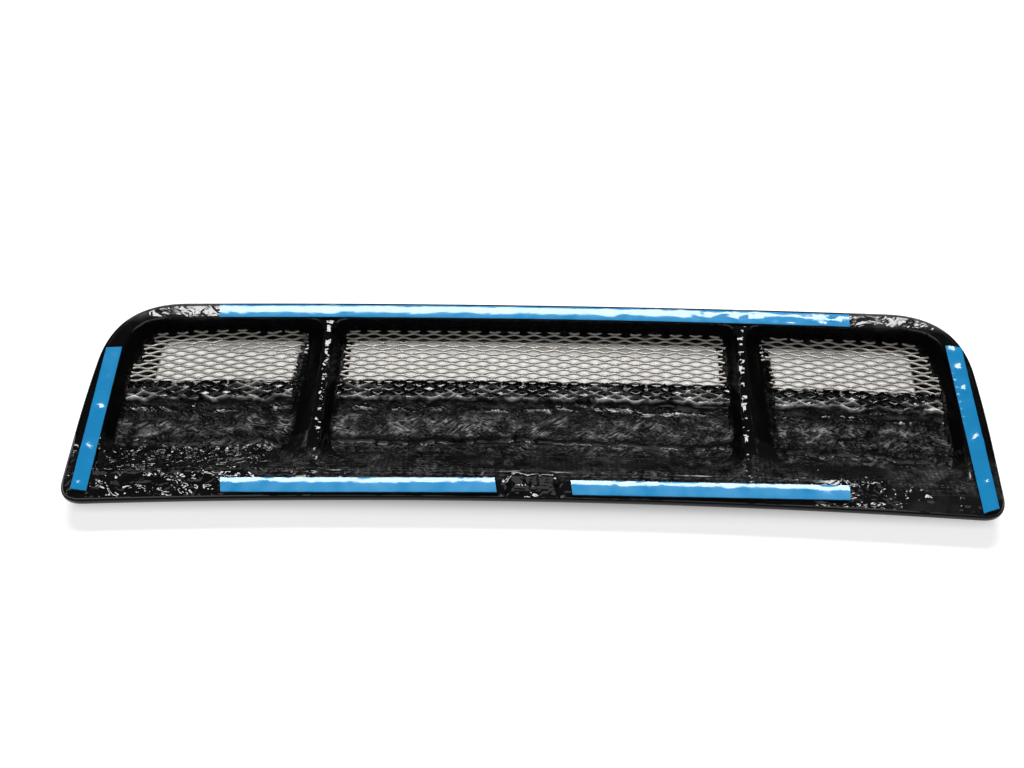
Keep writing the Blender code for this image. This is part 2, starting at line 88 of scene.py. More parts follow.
class InsertShell(bpy.types.PropertyGroup):
    """Sizes of the hand-laid shell."""

    near_width: length("Near width", 0.602, "Length of the wide edge")
    waist_inset: length("Waist inset", 0.0035, "How far each side has drawn in at its bend")
    far_inset: length("Far inset", 0.0115, "How far each side has drawn in at the narrow edge")
    depth: length("Depth", 0.1576, "From the wide edge to the narrow edge")
    waist_to_far: length("Waist to far edge", 0.0796, "From the bend in the sides to the narrow edge")
    near_corner: length("Near corner", 0.016, "Reach of the blends at the wide edge's corners")
    waist_reach: length("Side bend", 0.026, "Reach of the blends where the sides bend")
    far_corner: length("Far corner", 0.049, "Reach of the blends at the narrow edge's corners")
    near_bow: length("Near bow", 0.0083, "Rise of the wide edge at its middle")
    far_bow: length("Far bow", 0.0041, "Fall of the narrow edge at its ends")
    skin: length("Skin", 0.0025, "Thickness of the laminate")
    bay_depth: length("Bay depth", 0.0140, "From the land down to the floor of a bay")
    bead_width: length("Bead width", 0.0044, "Width of the bead under the edge")
    bead_drop: length("Bead drop", 0.0034, "How far the bead hangs below the land's underside")
    bead_round: length("Bead rounding", 0.0018, "Radius of the rounded edge")
    near_margin: length("Near margin", 0.0200, "Width of the land along the wide edge")
    far_margin: length("Far margin", 0.0141, "Width of the land along the narrow edge")
    side_margin: length("Side margin", 0.0195, "Width of the land at the sides")
    side_lean: length("Side lean", 0.0070, "How far the outer walls lean in beyond their bend")
    ridge_at: length("Ridge", 0.140, "From the middle to the middle of a ridge")
    ridge_crest: length("Ridge crest", 0.0040, "Width of a ridge's top")
    bend_to_far: length("Bend", 0.0335, "From the bend in the outer wall to the far brim")
    rise_run: length("Rise", 0.0240, "Run of the sloping near wall")
    far_run: length("Far wall", 0.0013, "Run of the far wall")
    center_run_near: length("Center wall, near", 0.0078, "Run of the center bay's side wall at its near end")
    center_run_far: length("Center wall, far", 0.0050, "Run of the center bay's side wall at its far end")
    outer_run: length("Outer wall", 0.0085, "Run of an outer bay's outer wall")
    flank_near: length("Flank, near", 0.0240, "Run of a ridge's outer flank at its near end")
    flank_far: length("Flank, far", 0.0142, "Run of a ridge's outer flank at its far end")
    bay_corner: length("Bay corner", 0.0120, "Reach of the blends at a bay's corners")
    outer_corner: length("Outer bay corner", 0.0200, "Reach of the blend at an outer bay's far corner")
    window_depth: length("Window depth", 0.0397, "Size of a window from its near to its far edge")
    window_far_frame: length("Far frame", 0.0070, "Floor left beyond a window")
    window_side_frame: length("Side frame", 0.0040, "Floor left beside a window")
    window_outer_near: length("Outer frame, near", 0.0150, "Floor left outside an outer window, near end")
    window_outer_far: length("Outer frame, far", 0.0095, "Floor left outside an outer window, far end")
    window_corner: length("Window corner", 0.0070, "Reach of the blends at a window's corners")
    arch_x: length("Arch place", 0.0018, "From the middle to the middle of the arch")
    arch_width: length("Arch width", 0.0460, "Width of the arch at the wide edge")
    arch_top: length("Arch top", 0.0320, "Width of the arch at its far end")
    arch_far: length("Arch depth", 0.0183, "How far the arch reaches in from the wide edge")
    arch_drop: length("Arch drop", 0.0045, "How deep the arch is pressed into the land")
    arch_run: length("Arch wall", 0.0050, "Run of the arch's wall")
    cell: length("Cell", 0.00145, "Spacing of the laminate's surface points")
    relief: share("Relief", 1.0, "Strength of the hand-laid unevenness")


class InsertMesh(bpy.types.PropertyGroup):
    """Sizes of the expanded metal."""

    long_way: length("Long way", 0.0139, "Long diagonal of a diamond")
    short_way: length("Short way", 0.0064, "Short diagonal of a diamond")
    strand: length("Strand", 0.00150, "Width of a strand")
    sheet: length("Sheet", 0.0011, "Thickness of a strand")
    twist: turn("Twist", 9.0, "Turn of each strand about its own length")
    tilt: turn("Tilt", 3.0, "Turn with which the outer sheets were laid in")
    near: length("Near end", 0.0940, "Where the sheets end under the resin")
    hairs: bpy.props.IntProperty(
        name="Loose fibres", description="Number of loose fibres at each inner edge", default=90, min=0)


class InsertResin(bpy.types.PropertyGroup):
    """Sizes of the resin that floods the near cells of the sheets."""

    near: length("Near lip", 0.0825, "Where the flooded band starts")
    far: length("Far lip", 0.0984, "Where the flooded band ends")
    body: length("Body", 0.0005, "Depth of the resin in the cells")
    net: length("Net", 0.0024, "How far the coated strands stand above the flooded cells")
    cell: length("Cell", 0.00042, "Spacing of the band's surface points")


class InsertStrips(bpy.types.PropertyGroup):
    """Sizes of the tape's release film."""

    width: length("Width", 0.0104, "Width of the tape")
    film: length("Film", 0.0003, "Thickness of the film")
    crown: length("Crown", 0.00030, "How far the film stands up along its middle")
    cell: length("Cell", 0.0010, "Spacing of the film's surface points")


class InsertFinish(bpy.types.PropertyGroup):
    """Colours of the finishes."""

    laminate: color("Laminate", (0.0018, 0.0018, 0.0020), "Black laminate")
    # Partly painted highlight: the pale strands stand in for glints on the cloth's fibre bundles as well as
    # for fibres that took up little resin.
    strand: color("Dry strands", (0.50, 0.50, 0.505), "Pale strands of the cloth that took up little resin, partly painted highlight")
    # Also painted light: the brighter bands across the bay floors are mixed towards this grey.
    cured: color("Cured resin", (0.034, 0.034, 0.036), "Grey haze of cured resin on the cloth, and painted light in the floor bands")
    resin: color("Resin", (0.0015, 0.0015, 0.0017), "Glossy black resin")
    # Partly painted highlight: the tops of the coated net and the near bead are mixed towards this pale grey,
    # which stands in for glints as well as for metal under a film of resin.
    thin_resin_and_highlight: color("Thin resin and painted highlight", (0.80, 0.79, 0.77), "Resin that barely covers the metal, and painted highlight on the net and the near bead")
    # Painted shade: faces of the strands that look towards the far side take this dark grey, whichever way
    # they were cut.
    metal: color("Metal", (0.40, 0.375, 0.34), "Bare expanded aluminium")
    far_side_shade: color("Far-side shade", (0.050, 0.047, 0.043), "Painted shade on strand faces that look towards the far side")
    film: color("Film", (0.012, 0.240, 0.520), "Blue release film")
    pale: color("Pale film", (0.075, 0.370, 0.710), "Blue release film where it catches the light")
    foam: color("Foam", (0.006, 0.014, 0.024), "Black closed-cell foam")
    outer: color("Outer face", (0.0030, 0.0030, 0.0032), "Smooth outer face")


class InsertStage(bpy.types.PropertyGroup):
    """The camera and the studio."""

    elevation: turn("Elevation", 60.0, "Height of the camera above the horizon")
    azimuth: turn("Azimuth", -2.448, "Turn of the camera round the part")
    roll: turn("Roll", -1.136, "Turn of the camera about its own line of sight")
    distance: length("Distance", 0.870, "From the camera to the point that it looks at")
    lens: share("Lens", 46.66, "Focal length in millimetres on a 36 mm wide sensor")
    shift_x: share("Shift X", -0.019, "Sideways shift of the picture")
    shift_y: share("Shift Y", 0.0333, "Upward shift of the picture")
    panel: share("Panel", 18.0, "Brightness of the long panel behind the part")
    front_fill: share("Front fill", 1.0, "Brightness of the soft panel over the camera")
    room: share("Room", 0.06, "Brightness of the room above the pale horizon")
    glow: share("Glow", 0.55, "Brightness that the floor adds to look white round the part")
    # Painted shadow: the floor adds less glow under the part than round it.
    glow_in_painted_shadow: share("Glow under the part", 0.13, "Brightness that the floor adds under the part")
    floor: color("Floor", (0.86, 0.86, 0.86), "Pale floor")


GROUPS = {
    "insert_shell": InsertShell,
    "insert_mesh": InsertMesh,
    "insert_resin": InsertResin,
    "insert_strips": InsertStrips,
    "insert_finish": InsertFinish,
    "insert_stage": InsertStage,
}


# Plan geometry

def lerp(start, end, part):
    """The value that lies a share of the way from start to end."""
    return start + (end - start) * part


# Points of an outline that is cut into a fixed number of them.
CORNER_STEPS = 12
SIDE_STEPS = 14


def blended_loop(corners, reaches, pitch=None):
    """A closed outline through blended corners, cut to about a pitch or else into a fixed number."""
    corners = np.asarray(corners, float)
    neighbours = zip(corners, np.roll(corners, 1, 0), np.roll(corners, -1, 0), reaches)
    blends = []
    for corner, last, following, reach in neighbours:
        before, after = last - corner, following - corner
        start = corner + before / np.linalg.norm(before) * reach
        end = corner + after / np.linalg.norm(after) * reach
        steps = max(4, int(reach * 1.6 / pitch)) if pitch else CORNER_STEPS
        part = np.linspace(0.0, 1.0, steps + 1)[:, None]
        blends.append((1 - part) ** 2 * start + 2 * part * (1 - part) * corner + part ** 2 * end)
    loop = []
    for blend, follow in zip(blends, blends[1:] + blends[:1]):
        gap = follow[0] - blend[-1]
        steps = max(1, int(np.linalg.norm(gap) / pitch)) if pitch else SIDE_STEPS
        part = np.linspace(0.0, 1.0, steps + 1)[1:-1, None]
        loop += [blend, blend[-1] + gap * part]
    return np.vstack(loop)


def grow_loop(loop, distance):
    """Move each point of an anticlockwise outline outwards, square to the outline there."""
    along = np.roll(loop, -1, 0) - np.roll(loop, 1, 0)
    outward = np.stack([along[:, 1], -along[:, 0]], 1)
    return loop + outward / np.linalg.norm(outward, axis=1)[:, None] * distance


def inside(loop, x, y):
    """Which plan points lie inside a closed outline."""
    odd = np.zeros(np.shape(x), bool)
    for here, there in zip(loop, np.roll(loop, 1, 0)):
        if here[1] == there[1]:
            continue
        spans = (here[1] > y) != (there[1] > y)
        cross = here[0] + (there[0] - here[0]) * (y - here[1]) / (there[1] - here[1])
        odd ^= spans & (x < cross)
    return odd


def share_down(brim, floor, x, y):
    """How far plan points lie down a wall, 0 at its brim and outside and 1 at its foot and inside."""
    down = np.where(inside(floor, x, y), 1.0, 0.0)
    on_wall = inside(brim, x, y) & (down < 0.5)
    wall_x = x[on_wall][:, None]
    wall_y = y[on_wall][:, None]
    low = np.zeros(len(wall_x))
    high = np.ones(len(wall_x))
    for _ in range(8):
        middle = (low + high) / 2.0
        ring = brim[None] + (floor - brim)[None] * middle[:, None, None]
        here_x, here_y = ring[..., 0], ring[..., 1]
        there_x, there_y = np.roll(here_x, 1, 1), np.roll(here_y, 1, 1)
        spans = (here_y > wall_y) != (there_y > wall_y)
        rise = np.where(here_y == there_y, 1.0, there_y - here_y)
        cross = here_x + (there_x - here_x) * (wall_y - here_y) / rise
        within = (np.sum(spans & (wall_x < cross), 1) % 2) == 1
        low = np.where(within, middle, low)
        high = np.where(within, high, middle)
    down[on_wall] = (low + high) / 2.0
    return down


def rounded_drop(down, rounding=0.13):
    """A wall's depth as a share, straight in its middle and rounded at its brim and foot."""
    slope = 1.0 / (1.0 - rounding)
    brim = slope * down ** 2 / (2.0 * rounding)
    foot = 1.0 - slope * (1.0 - down) ** 2 / (2.0 * rounding)
    wall = slope * (down - rounding / 2.0)
    return np.where(down < rounding, brim, np.where(down > 1.0 - rounding, foot, wall))


def bump_at(value, middle, width):
    """A smooth rise to 1 at the middle that has died away a few widths from it."""
    return np.exp(-((value - middle) / width) ** 2)


def smooth_step(value, start, end):
    """A smooth change from 0 at the start to 1 at the end."""
    part = np.clip((value - start) / (end - start), 0.0, 1.0)
    return part * part * (3.0 - 2.0 * part)


def fade(value, start, end):
    """A smooth change from 1 at the start to 0 at the end."""
    return 1.0 - smooth_step(value, start, end)


def rough(x, y, across, along, seed, octaves):
    """Soft noise of about -1 to 1 at plan points, with a grain size of its own along X and along Y."""
    flat = zip(np.ravel(x) / across, np.ravel(y) / along)
    values = [noise.fractal((u, v, seed), 0.9, 2.0, octaves) for u, v in flat]
    return np.array(values).reshape(np.shape(x))


class Plan:
    """The outlines of the shell, worked out from its sizes."""

    def __init__(self, size):
        self.size = size
        self.near_side = size.near_width / 2.0
        self.far_side = self.near_side - size.far_inset
        self.brim_far = size.depth - size.far_margin
        self.floor_near = size.near_margin + size.rise_run
        self.floor_far = self.brim_far - size.far_run
        self.bend = self.brim_far - size.bend_to_far
        self.window_far = self.floor_far - size.window_far_frame
        self.window_near = self.window_far - size.window_depth
        self.land = size.skin + size.bay_depth
        edge = self.outline()
        heights = edge[:, 1] + self.bow(edge[:, 0], edge[:, 1])
        self.shift = -(heights.min() + heights.max()) / 2.0

    def bow(self, x, y):
        """How far the bow of the long edges moves points towards the far side."""
        near = self.size.near_bow * (1.0 - (x / self.near_side) ** 2)
        far = -self.size.far_bow * (x / self.far_side) ** 2
        return near + (far - near) * np.clip(y / self.size.depth, 0.0, 1.0)

    def world_y(self, x, y):
        """Where plan points lie along the part's own Y."""
        return y + self.bow(x, y) + self.shift

    def side_corners(self):
        """The corners of the right-hand side, from near to far."""
        waist = (self.near_side - self.size.waist_inset, self.size.depth - self.size.waist_to_far)
        return [(self.near_side, 0.0), waist, (self.far_side, self.size.depth)]

    def side_at(self, y):
        """How far from the middle the shell's side lies."""
        near, waist, far = self.side_corners()
        start, end = (near, waist) if y < waist[1] else (waist, far)
        return lerp(start[0], end[0], (y - start[1]) / (end[1] - start[1]))

    def outline(self, pitch=0.002):
        """The shell's outer edge."""
        size = self.size
        right = self.side_corners()
        corners = [(-right[0][0], 0.0)] + right + [(-x, y) for x, y in reversed(right[1:])]
        reaches = [size.near_corner, size.near_corner, size.waist_reach,
                   size.far_corner, size.far_corner, size.waist_reach]
        return blended_loop(corners, reaches, pitch)

    def bay_side(self, y):
        """Where an outer bay's outer brim lies."""
        beyond = np.maximum(y - self.bend, 0.0) / self.size.bend_to_far
        return self.near_side - self.size.side_margin - self.size.side_lean * beyond

    def bay_corners(self, which, at_floor):
        """Plan corners of a bay at its brim or at its floor."""
        size = self.size
        near = self.floor_near if at_floor else size.near_margin
        far = self.floor_far if at_floor else self.brim_far
        if which == "center":
            crest = size.ridge_at - size.ridge_crest / 2.0
            low = crest - (size.center_run_near if at_floor else 0.0)
            high = crest - (size.center_run_far if at_floor else 0.0)
            return [(-low, near), (low, near), (high, far), (-high, far)]
        ridge = size.ridge_at + size.ridge_crest / 2.0
        run = size.outer_run if at_floor else 0.0
        corners = [
            (ridge + (size.flank_near if at_floor else 0.0), near),
            (self.bay_side(near) - run, near),
            (self.bay_side(self.bend) - run, self.bend),
            (self.bay_side(self.brim_far) - run, far),
            (ridge + (size.flank_far if at_floor else 0.0), far),
        ]
        return mirrored(corners) if which == "left" else corners

    def bay_pair(self, which, grow=0.0):
        """Brim and floor outlines of a bay, cut into the same number of points."""
        size = self.size
        reaches = [size.bay_corner] * 4
        if which != "center":
            reaches = [size.bay_corner] * 3 + [size.outer_corner, size.bay_corner]
            reaches = reaches[::-1] if which == "left" else reaches
        pair = [blended_loop(self.bay_corners(which, at_floor), reaches) for at_floor in (False, True)]
        return [grow_loop(loop, grow) for loop in pair]

    def window(self, which):
        """Plan outline of a bay's window."""
        size = self.size
        corners = self.bay_corners("right" if which == "left" else which, True)
        low, high = self.window_near, self.window_far
        if which == "center":
            side = corners[1][0] - size.window_side_frame
            shape = [(-side, low), (side, low), (side, high), (-side, high)]
        else:
            ridge_near, _, bend, outer, ridge_far = corners
            rise = (low - ridge_near[1]) / (ridge_far[1] - ridge_near[1])
            shape = [
                (lerp(ridge_near[0], ridge_far[0], rise) + size.window_side_frame, low),
                (bend[0] - size.window_outer_near, low),
                (outer[0] - size.window_outer_far, high),
                (ridge_far[0] + size.window_side_frame, high),
            ]
            if which == "left":
                shape = mirrored(shape)
        return blended_loop(shape, [size.window_corner] * 4, 0.001)

    def arch_pair(self):
        """Brim and floor outlines of the arch at the near edge."""
        size = self.size
        pair = []
        for shrink in (0.0, size.arch_run):
            half_near = size.arch_width / 2.0 - shrink
            half_far = size.arch_top / 2.0 - shrink
            far = size.arch_far - shrink
            corners = [(size.arch_x - half_near, -0.004), (size.arch_x + half_near, -0.004),
                       (size.arch_x + half_far, far), (size.arch_x - half_far, far)]
            pair.append(blended_loop(corners, [0.001, 0.001, 0.006, 0.006]))
        return pair


def mirrored(corners):
    """The same corners on the left-hand side, still anticlockwise."""
    return [(-x, y) for x, y in reversed(corners)]


# Meshes

# Edges that bend more than this many degrees stay sharp.
SHARP_BEND = 50.0


def new_piece(name, verts, faces, material, replaces=()):
    """A mesh piece that rides on the part and stands for the CAD nodes named."""
    mesh = bpy.data.meshes.new(name)
    mesh.from_pydata(np.asarray(verts).tolist(), [], faces)
    mesh.update()
    mesh.shade_smooth()
    mesh.set_sharp_from_angle(angle=math.radians(SHARP_BEND))
    piece = bpy.data.objects.new(name, mesh)
    piece.data.materials.append(material)
    bpy.context.scene.collection.objects.link(piece)
    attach(piece, BODY)
    for node in replaces:
        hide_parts(node)
    return piece


def store(mesh, name, values):
    """Keep one number per point on a mesh for its material."""
    layer = mesh.attributes.new(name, "FLOAT", "POINT")
    layer.data.foreach_set("value", np.asarray(values, np.float32))


def closed_sheet(x, y, top, bottom, keep=None, rim=None):
    """Points and faces of a closed sheet over a grid, with walls at its holes and a rim of rings round it.

    The rim is a list of (outward, level) pairs from the top face to the bottom face.
    Returns the points, the faces and the number of each kept point in the top layer.
    """
    rows, columns = x.shape
    offset = rows * columns
    keep = np.ones((rows - 1, columns - 1), bool) if keep is None else keep
    number = np.arange(offset).reshape(rows, columns)
    points = np.vstack([np.stack([x.ravel(), y.ravel(), level.ravel()], 1) for level in (top, bottom)])
    a, b, c, d = number[:-1, :-1], number[:-1, 1:], number[1:, 1:], number[1:, :-1]
    upper = np.stack([corner[keep] for corner in (a, b, c, d)], 1)
    faces = [upper, upper[:, ::-1] + offset]
    padded = np.pad(keep, 1, constant_values=rim is not None)
    beyond = (padded[:-2, 1:-1], padded[1:-1, 2:], padded[2:, 1:-1], padded[1:-1, :-2])
    for filled, start, end in zip(beyond, (a, b, c, d), (b, c, d, a)):
        bare = keep & ~filled
        faces.append(np.stack([start[bare] + offset, end[bare] + offset, end[bare], start[bare]], 1))
    if rim is not None:
        ring = np.concatenate([number[0, :-1], number[:-1, -1], number[-1, :0:-1], number[:0:-1, 0]])
        loop = points[ring][:, :2]
        rings = [ring]
        for outward, level in rim:
            rings.append(np.arange(len(ring)) + len(points))
            fresh = np.column_stack([grow_loop(loop, outward), np.full(len(ring), level)])
            points = np.vstack([points, fresh])
        rings.append(ring + offset)
        for above, below in zip(rings, rings[1:]):
            faces.append(np.stack([np.roll(above, -1), above, below, np.roll(below, -1)], 1))
    faces = np.vstack(faces)
    used, compact = np.unique(faces, return_inverse=True)
    return points[used], compact.reshape(faces.shape).tolist(), used


# Shader maths

class Value:
    """A shader socket that can be used in plain expressions."""

    def __init__(self, tree, socket):
        self.tree = tree
        self.socket = socket

    def is_vector(self):
        """Whether the socket holds a vector or a colour."""
        return self.socket.type in {"VECTOR", "RGBA"}

    def node(self, kind, inputs=None, output=0, **settings):
        """Any node: its settings are put in first, then the values or links of its sockets."""
        made = self.tree.nodes.new(kind)
        for name, value in settings.items():
            setattr(made, name, value)
        for name, value in (inputs or {}).items():
            socket = made.inputs[name]
            if isinstance(value, Value):
                self.tree.links.new(value.socket, socket)
            else:
                socket.default_value = value
        return Value(self.tree, made.outputs[output])

    def math(self, operation, *others):
        """A Math node for numbers, or a Vector Math node where vectors are meant."""
        values = (self, *others)
        vector = self.is_vector() or any(isinstance(v, Value) and v.is_vector() for v in others)
        kind = "ShaderNodeVectorMath" if vector else "ShaderNodeMath"
        inputs = {}
        for index, value in enumerate(values):
            if vector and isinstance(value, (int, float)):
                value = (value, value, value)
            inputs[index] = value
        return self.node(kind, inputs, operation=operation)

    def __add__(self, other):
        return self.math("ADD", other)

    def __sub__(self, other):
        return self.math("SUBTRACT", other)

    def __rsub__(self, other):
        flipped = self.math("MULTIPLY", -1.0)
        return flipped.math("ADD", other)

    def __mul__(self, other):
        return self.math("MULTIPLY", other)

    def __abs__(self):
        return self.math("ABSOLUTE")

    def sine(self):
        return self.math("SINE")

    def at_least(self, other):
        return self.math("MAXIMUM", other)

    def at_most(self, other):
        return self.math("MINIMUM", other)

    def smooth(self, start, end):
        """0 below the start, 1 above the end and a smooth change between them."""
        inputs = {"Value": self, "From Min": start, "From Max": end, "To Min": 0.0, "To Max": 1.0}
        return self.node("ShaderNodeMapRange", inputs, interpolation_type="SMOOTHSTEP")

    def mix(self, low, high):
        """Low where this value is 0 and high where it is 1, for colours."""
        low = low if isinstance(low, Value) else (*low, 1.0)
        high = high if isinstance(high, Value) else (*high, 1.0)
        return self.node("ShaderNodeMix", {0: self, 6: low, 7: high}, output=2, data_type="RGBA")

    def blend(self, low, high):
        """Low where this value is 0 and high where it is 1, for numbers."""
        return self.node("ShaderNodeMix", {0: self, 2: low, 3: high}, output=0, data_type="FLOAT")

    def stretch(self, scale, turned=0.0):
        """Coordinates turned about Z first and then scaled along each axis."""
        inverse = tuple(1.0 / part for part in scale)
        inputs = {"Vector": self, "Scale": inverse, "Rotation": (0.0, 0.0, turned)}
        return self.node("ShaderNodeMapping", inputs, vector_type="TEXTURE")

    def line(self, sharpness):
        """Thin lines where soft noise passes its middle value."""
        return 1.0 - (abs(self - 0.5) * sharpness).at_most(1.0)

    def noise(self, scale, detail=3.0, distortion=0.0, roughness=0.5):
        """Soft noise between 0 and 1, in grains of about one metre over the scale."""
        inputs = {"Vector": self, "Scale": scale, "Detail": detail, "Roughness": roughness}
        return self.node("ShaderNodeTexNoise", {**inputs, "Distortion": distortion})

    def part(self, axis):
        """One part of a vector."""
        return self.node("ShaderNodeSeparateXYZ", {0: self}, output="XYZ".index(axis))


class Finish:
    """A material with one Principled shader, its coordinates and its bumps."""

    def __init__(self, name, **constants):
        self.material = bpy.data.materials.new(name)
        self.material.use_nodes = True
        self.tree = self.material.node_tree
        self.shader = self.tree.nodes["Principled BSDF"]
        for socket, value in constants.items():
            self.shader.inputs[socket.replace("_", " ")].default_value = value
        start = Value(self.tree, self.shader.outputs[0])
        self.make = start.node
        self.place = start.node("ShaderNodeTexCoord", output=3)
        self.normal = None

    def stored(self, name):
        """A number kept on the mesh."""
        return self.make("ShaderNodeAttribute", attribute_name=name, output=2)

    def bump(self, height, distance, strength=1.0):
        """Add a bump of a height field, counted in metres."""
        inputs = {"Height": height, "Distance": distance, "Strength": strength}
        if self.normal is not None:
            inputs["Normal"] = self.normal
        self.normal = self.make("ShaderNodeBump", inputs)

    def feed(self, **links):
        """Join varying values to the shader's sockets."""
        for socket, value in links.items():
            self.tree.links.new(value.socket, self.shader.inputs[socket.replace("_", " ")])
        if self.normal is not None:
            self.tree.links.new(self.normal.socket, self.shader.inputs["Normal"])
        return self.material

    def cover(self, factor, **constants):
        """Lay a second Principled shader over the first where the factor is 1, and work on it from here."""
        first = Value(self.tree, self.shader.outputs[0])
        self.shader = self.tree.nodes.new("ShaderNodeBsdfPrincipled")
        for socket, value in constants.items():
            self.shader.inputs[socket.replace("_", " ")].default_value = value
        second = Value(self.tree, self.shader.outputs[0])
        mixed = self.make("ShaderNodeMixShader", {0: factor, 1: first, 2: second})
        self.tree.links.new(mixed.socket, self.tree.nodes["Material Output"].inputs["Surface"])
        self.normal = None


# Spacing of the threads along X and along Y, and how far they wander.
THREAD_ACROSS = 0.0033
THREAD_ALONG = 0.0030
THREAD_WANDER = 0.0034


def woven_cloth(place):
    """The height of a plain weave, between 0 and 1, with threads that wander a little."""
    wander = place.node("ShaderNodeTexNoise", {"Vector": place, "Scale": 70.0, "Detail": 2.0}, output=1)
    drift = place + (wander - 0.5) * THREAD_WANDER
    across = (drift.part("X") * (math.pi / THREAD_ACROSS)).sine()
    along = (drift.part("Y") * (math.pi / THREAD_ALONG)).sine()
    over_under = (across * along).smooth(-0.25, 0.25)
    return over_under.blend(abs(along) * 0.6, abs(across))


def pale_strands_and_highlights(place, patch):
    """Thin slanting strands in bundles, rising in some patches and falling in others; as colour they are
    partly painted highlights.
    """
    rising = place.stretch((0.35, 1.5, 1.0), 0.60).noise(270.0, 1.0, 0.5, 0.45).line(11.0)
    falling = place.stretch((0.40, 1.4, 1.0), -0.30).noise(300.0, 1.0, 0.5, 0.45).line(11.0)
    return patch.blend(falling, rising) * place.noise(150.0, 2.0).smooth(0.38, 0.60)


def laminate_finish(colors):
    """Hand-laid black cloth: pale strands and weave where it took up little resin, creased gloss where resin
    lies on it. Painted light lies on it as a grey haze in bands across the bay floors and as pale strands
    that stand in for glints, and painted shade lies in the creases and below the resin.
    """
    finish = Finish("hand_laid_laminate", IOR=1.5, Specular_IOR_Level=0.06)
    place = finish.place
    weave, crinkle, haze, fibre, tone_and_painted_light, dull = (
        finish.stored(name) for name in ("weave", "crinkle", "haze", "fibre", "tone_and_painted_light", "dull"))
    cloth = woven_cloth(place)
    patch = place.noise(45.0, 3.0).smooth(0.42, 0.62)
    wrinkle = place.stretch((0.75, 1.1, 1.0), -0.35).noise(270.0, 1.0, 1.4, 0.45)
    streaks = place.stretch((0.35, 1.2, 1.0), 0.55).noise(230.0, 1.0, 0.8, 0.4)
    gaps = place.stretch((0.8, 1.3, 1.0), 0.2).noise(330.0, 1.0, 1.2).line(7.0)
    wet = place.stretch((1.0, 1.4, 1.0), -0.4).noise(62.0, 2.0, 0.8)
    fold = place.stretch((1.0, 1.3, 1.0), 0.5).noise(76.0, 1.0, 1.3, 0.4)
    cluster = place.stretch((1.0, 1.5, 1.0)).noise(36.0, 2.0).smooth(0.31, 0.49)

    black = (haze * patch * 0.7 + haze * 0.3).mix(colors.laminate, colors.cured)
    # Painted light: the grey follows the bright bands across each bay floor, varied by random patches.
    haze_and_painted_light = (tone_and_painted_light * (1.0 - gaps) * 0.50).mix(black, colors.cured)
    # Painted highlight, partly: the pale strands stand in for glints on the fibre bundles.
    strands = pale_strands_and_highlights(place, patch) * tone_and_painted_light * (1.0 - gaps * 0.6)
    woven = cloth * weave * haze * patch * 0.5
    finish.bump(cloth * weave, 0.00075)
    finish.bump(wrinkle * fibre, 0.00140)
    finish.bump(streaks * fibre * patch, 0.00090)
    finish.feed(Base_Color=(strands + woven).mix(haze_and_painted_light, colors.strand), Roughness=patch.blend(0.19, 0.27))

    covered = (dull + (wet - 0.5) * 0.9).smooth(0.30, 0.70)
    finish.cover(1.0 - covered, IOR=1.5, Specular_IOR_Level=0.5)
    finish.bump(fold.line(4.0) * cluster * crinkle, 0.00060)
    finish.bump(wrinkle * (fibre + crinkle * 0.12), 0.00045)
    finish.bump(wet * (crinkle + 0.05), 0.00280)
    return finish.feed(Base_Color=black, Roughness=haze.blend(0.045, 0.11))


def outer_finish(colors):
    """Smooth glossy outer face."""
    finish = Finish("smooth_outer_face", IOR=1.5, Specular_IOR_Level=0.16, Base_Color=(*colors.outer, 1.0))
    finish.bump(finish.place.noise(160.0, 3.0), 0.00006, 0.5)
    roughness = finish.place.noise(40.0, 3.0).smooth(0.2, 0.9) * 0.10 + 0.12
    return finish.feed(Roughness=roughness)


def resin_finish(colors):
    """Glossy black resin, grey where it barely covers the metal, with painted highlights on the tops of the
    coated net and on the near bead.
    """
    finish = Finish("pooled_resin", IOR=1.53)
    soft = finish.place.noise(240.0, 1.0, 0.8, 0.4)
    worn_and_highlight = finish.stored("worn_and_highlight")
    finish.bump(soft * (worn_and_highlight * 0.6 + 0.10), 0.00080)
    return finish.feed(Base_Color=worn_and_highlight.mix(colors.resin, colors.thin_resin_and_highlight), Roughness=worn_and_highlight.blend(0.055, 0.25))


def metal_finish(colors):
    """Bare aluminium with rolling marks, and painted shade on the faces that look towards the far side."""
    finish = Finish("bare_aluminium", Metallic=0.55, IOR=1.45)
    streak = finish.place.stretch((1.0, 4.0, 4.0)).noise(700.0, 1.0)
    dull = finish.place.noise(300.0, 2.0).smooth(0.3, 0.8)
    facing = finish.make("ShaderNodeNewGeometry", output=1).part("Y")
    flat = dull.mix(colors.metal, [part * 0.78 for part in colors.metal])
    finish.bump(streak, 0.00004, 0.8)
    # Painted shade: faces that look towards the far side take the dark grey.
    shade = facing.smooth(0.15, 0.55).mix(flat, colors.far_side_shade)
    return finish.feed(Base_Color=shade, Roughness=streak.smooth(0.2, 0.8) * 0.14 + 0.34)


def film_finish(colors):
    """Blue release film, glossy and a little scuffed."""
    finish = Finish("blue_release_film", IOR=1.5)
    scuff = finish.place.noise(600.0, 4.0, 0.5)
    broad = finish.place.noise(60.0, 2.0).smooth(0.3, 0.8)
    # Painted light: strips that catch more light are mixed towards the paler blue.
    blue = finish.stored("pale").mix(colors.film, colors.pale)
    shade = broad.mix(blue, [min(1.0, part * 1.12) for part in colors.film])
    finish.bump(scuff, 0.00003, 0.5)
    return finish.feed(Base_Color=shade, Roughness=scuff.smooth(0.3, 0.8) * 0.05 + 0.09)


def foam_finish(colors):
    """Matte closed-cell foam."""
    finish = Finish("black_foam", Base_Color=(*colors.foam, 1.0), Specular_IOR_Level=0.3)
    cells = finish.place.noise(2600.0, 2.0)
    finish.bump(cells, 0.00012, 0.8)
    return finish.feed(Roughness=cells.smooth(0.2, 0.8) * 0.10 + 0.80)


# The laminate

# Widths of the strips along the edges in which the grid's lines lie closer together.
NEAR_FINE = 0.018
FAR_FINE = 0.006
SIDE_FINE = 0.010


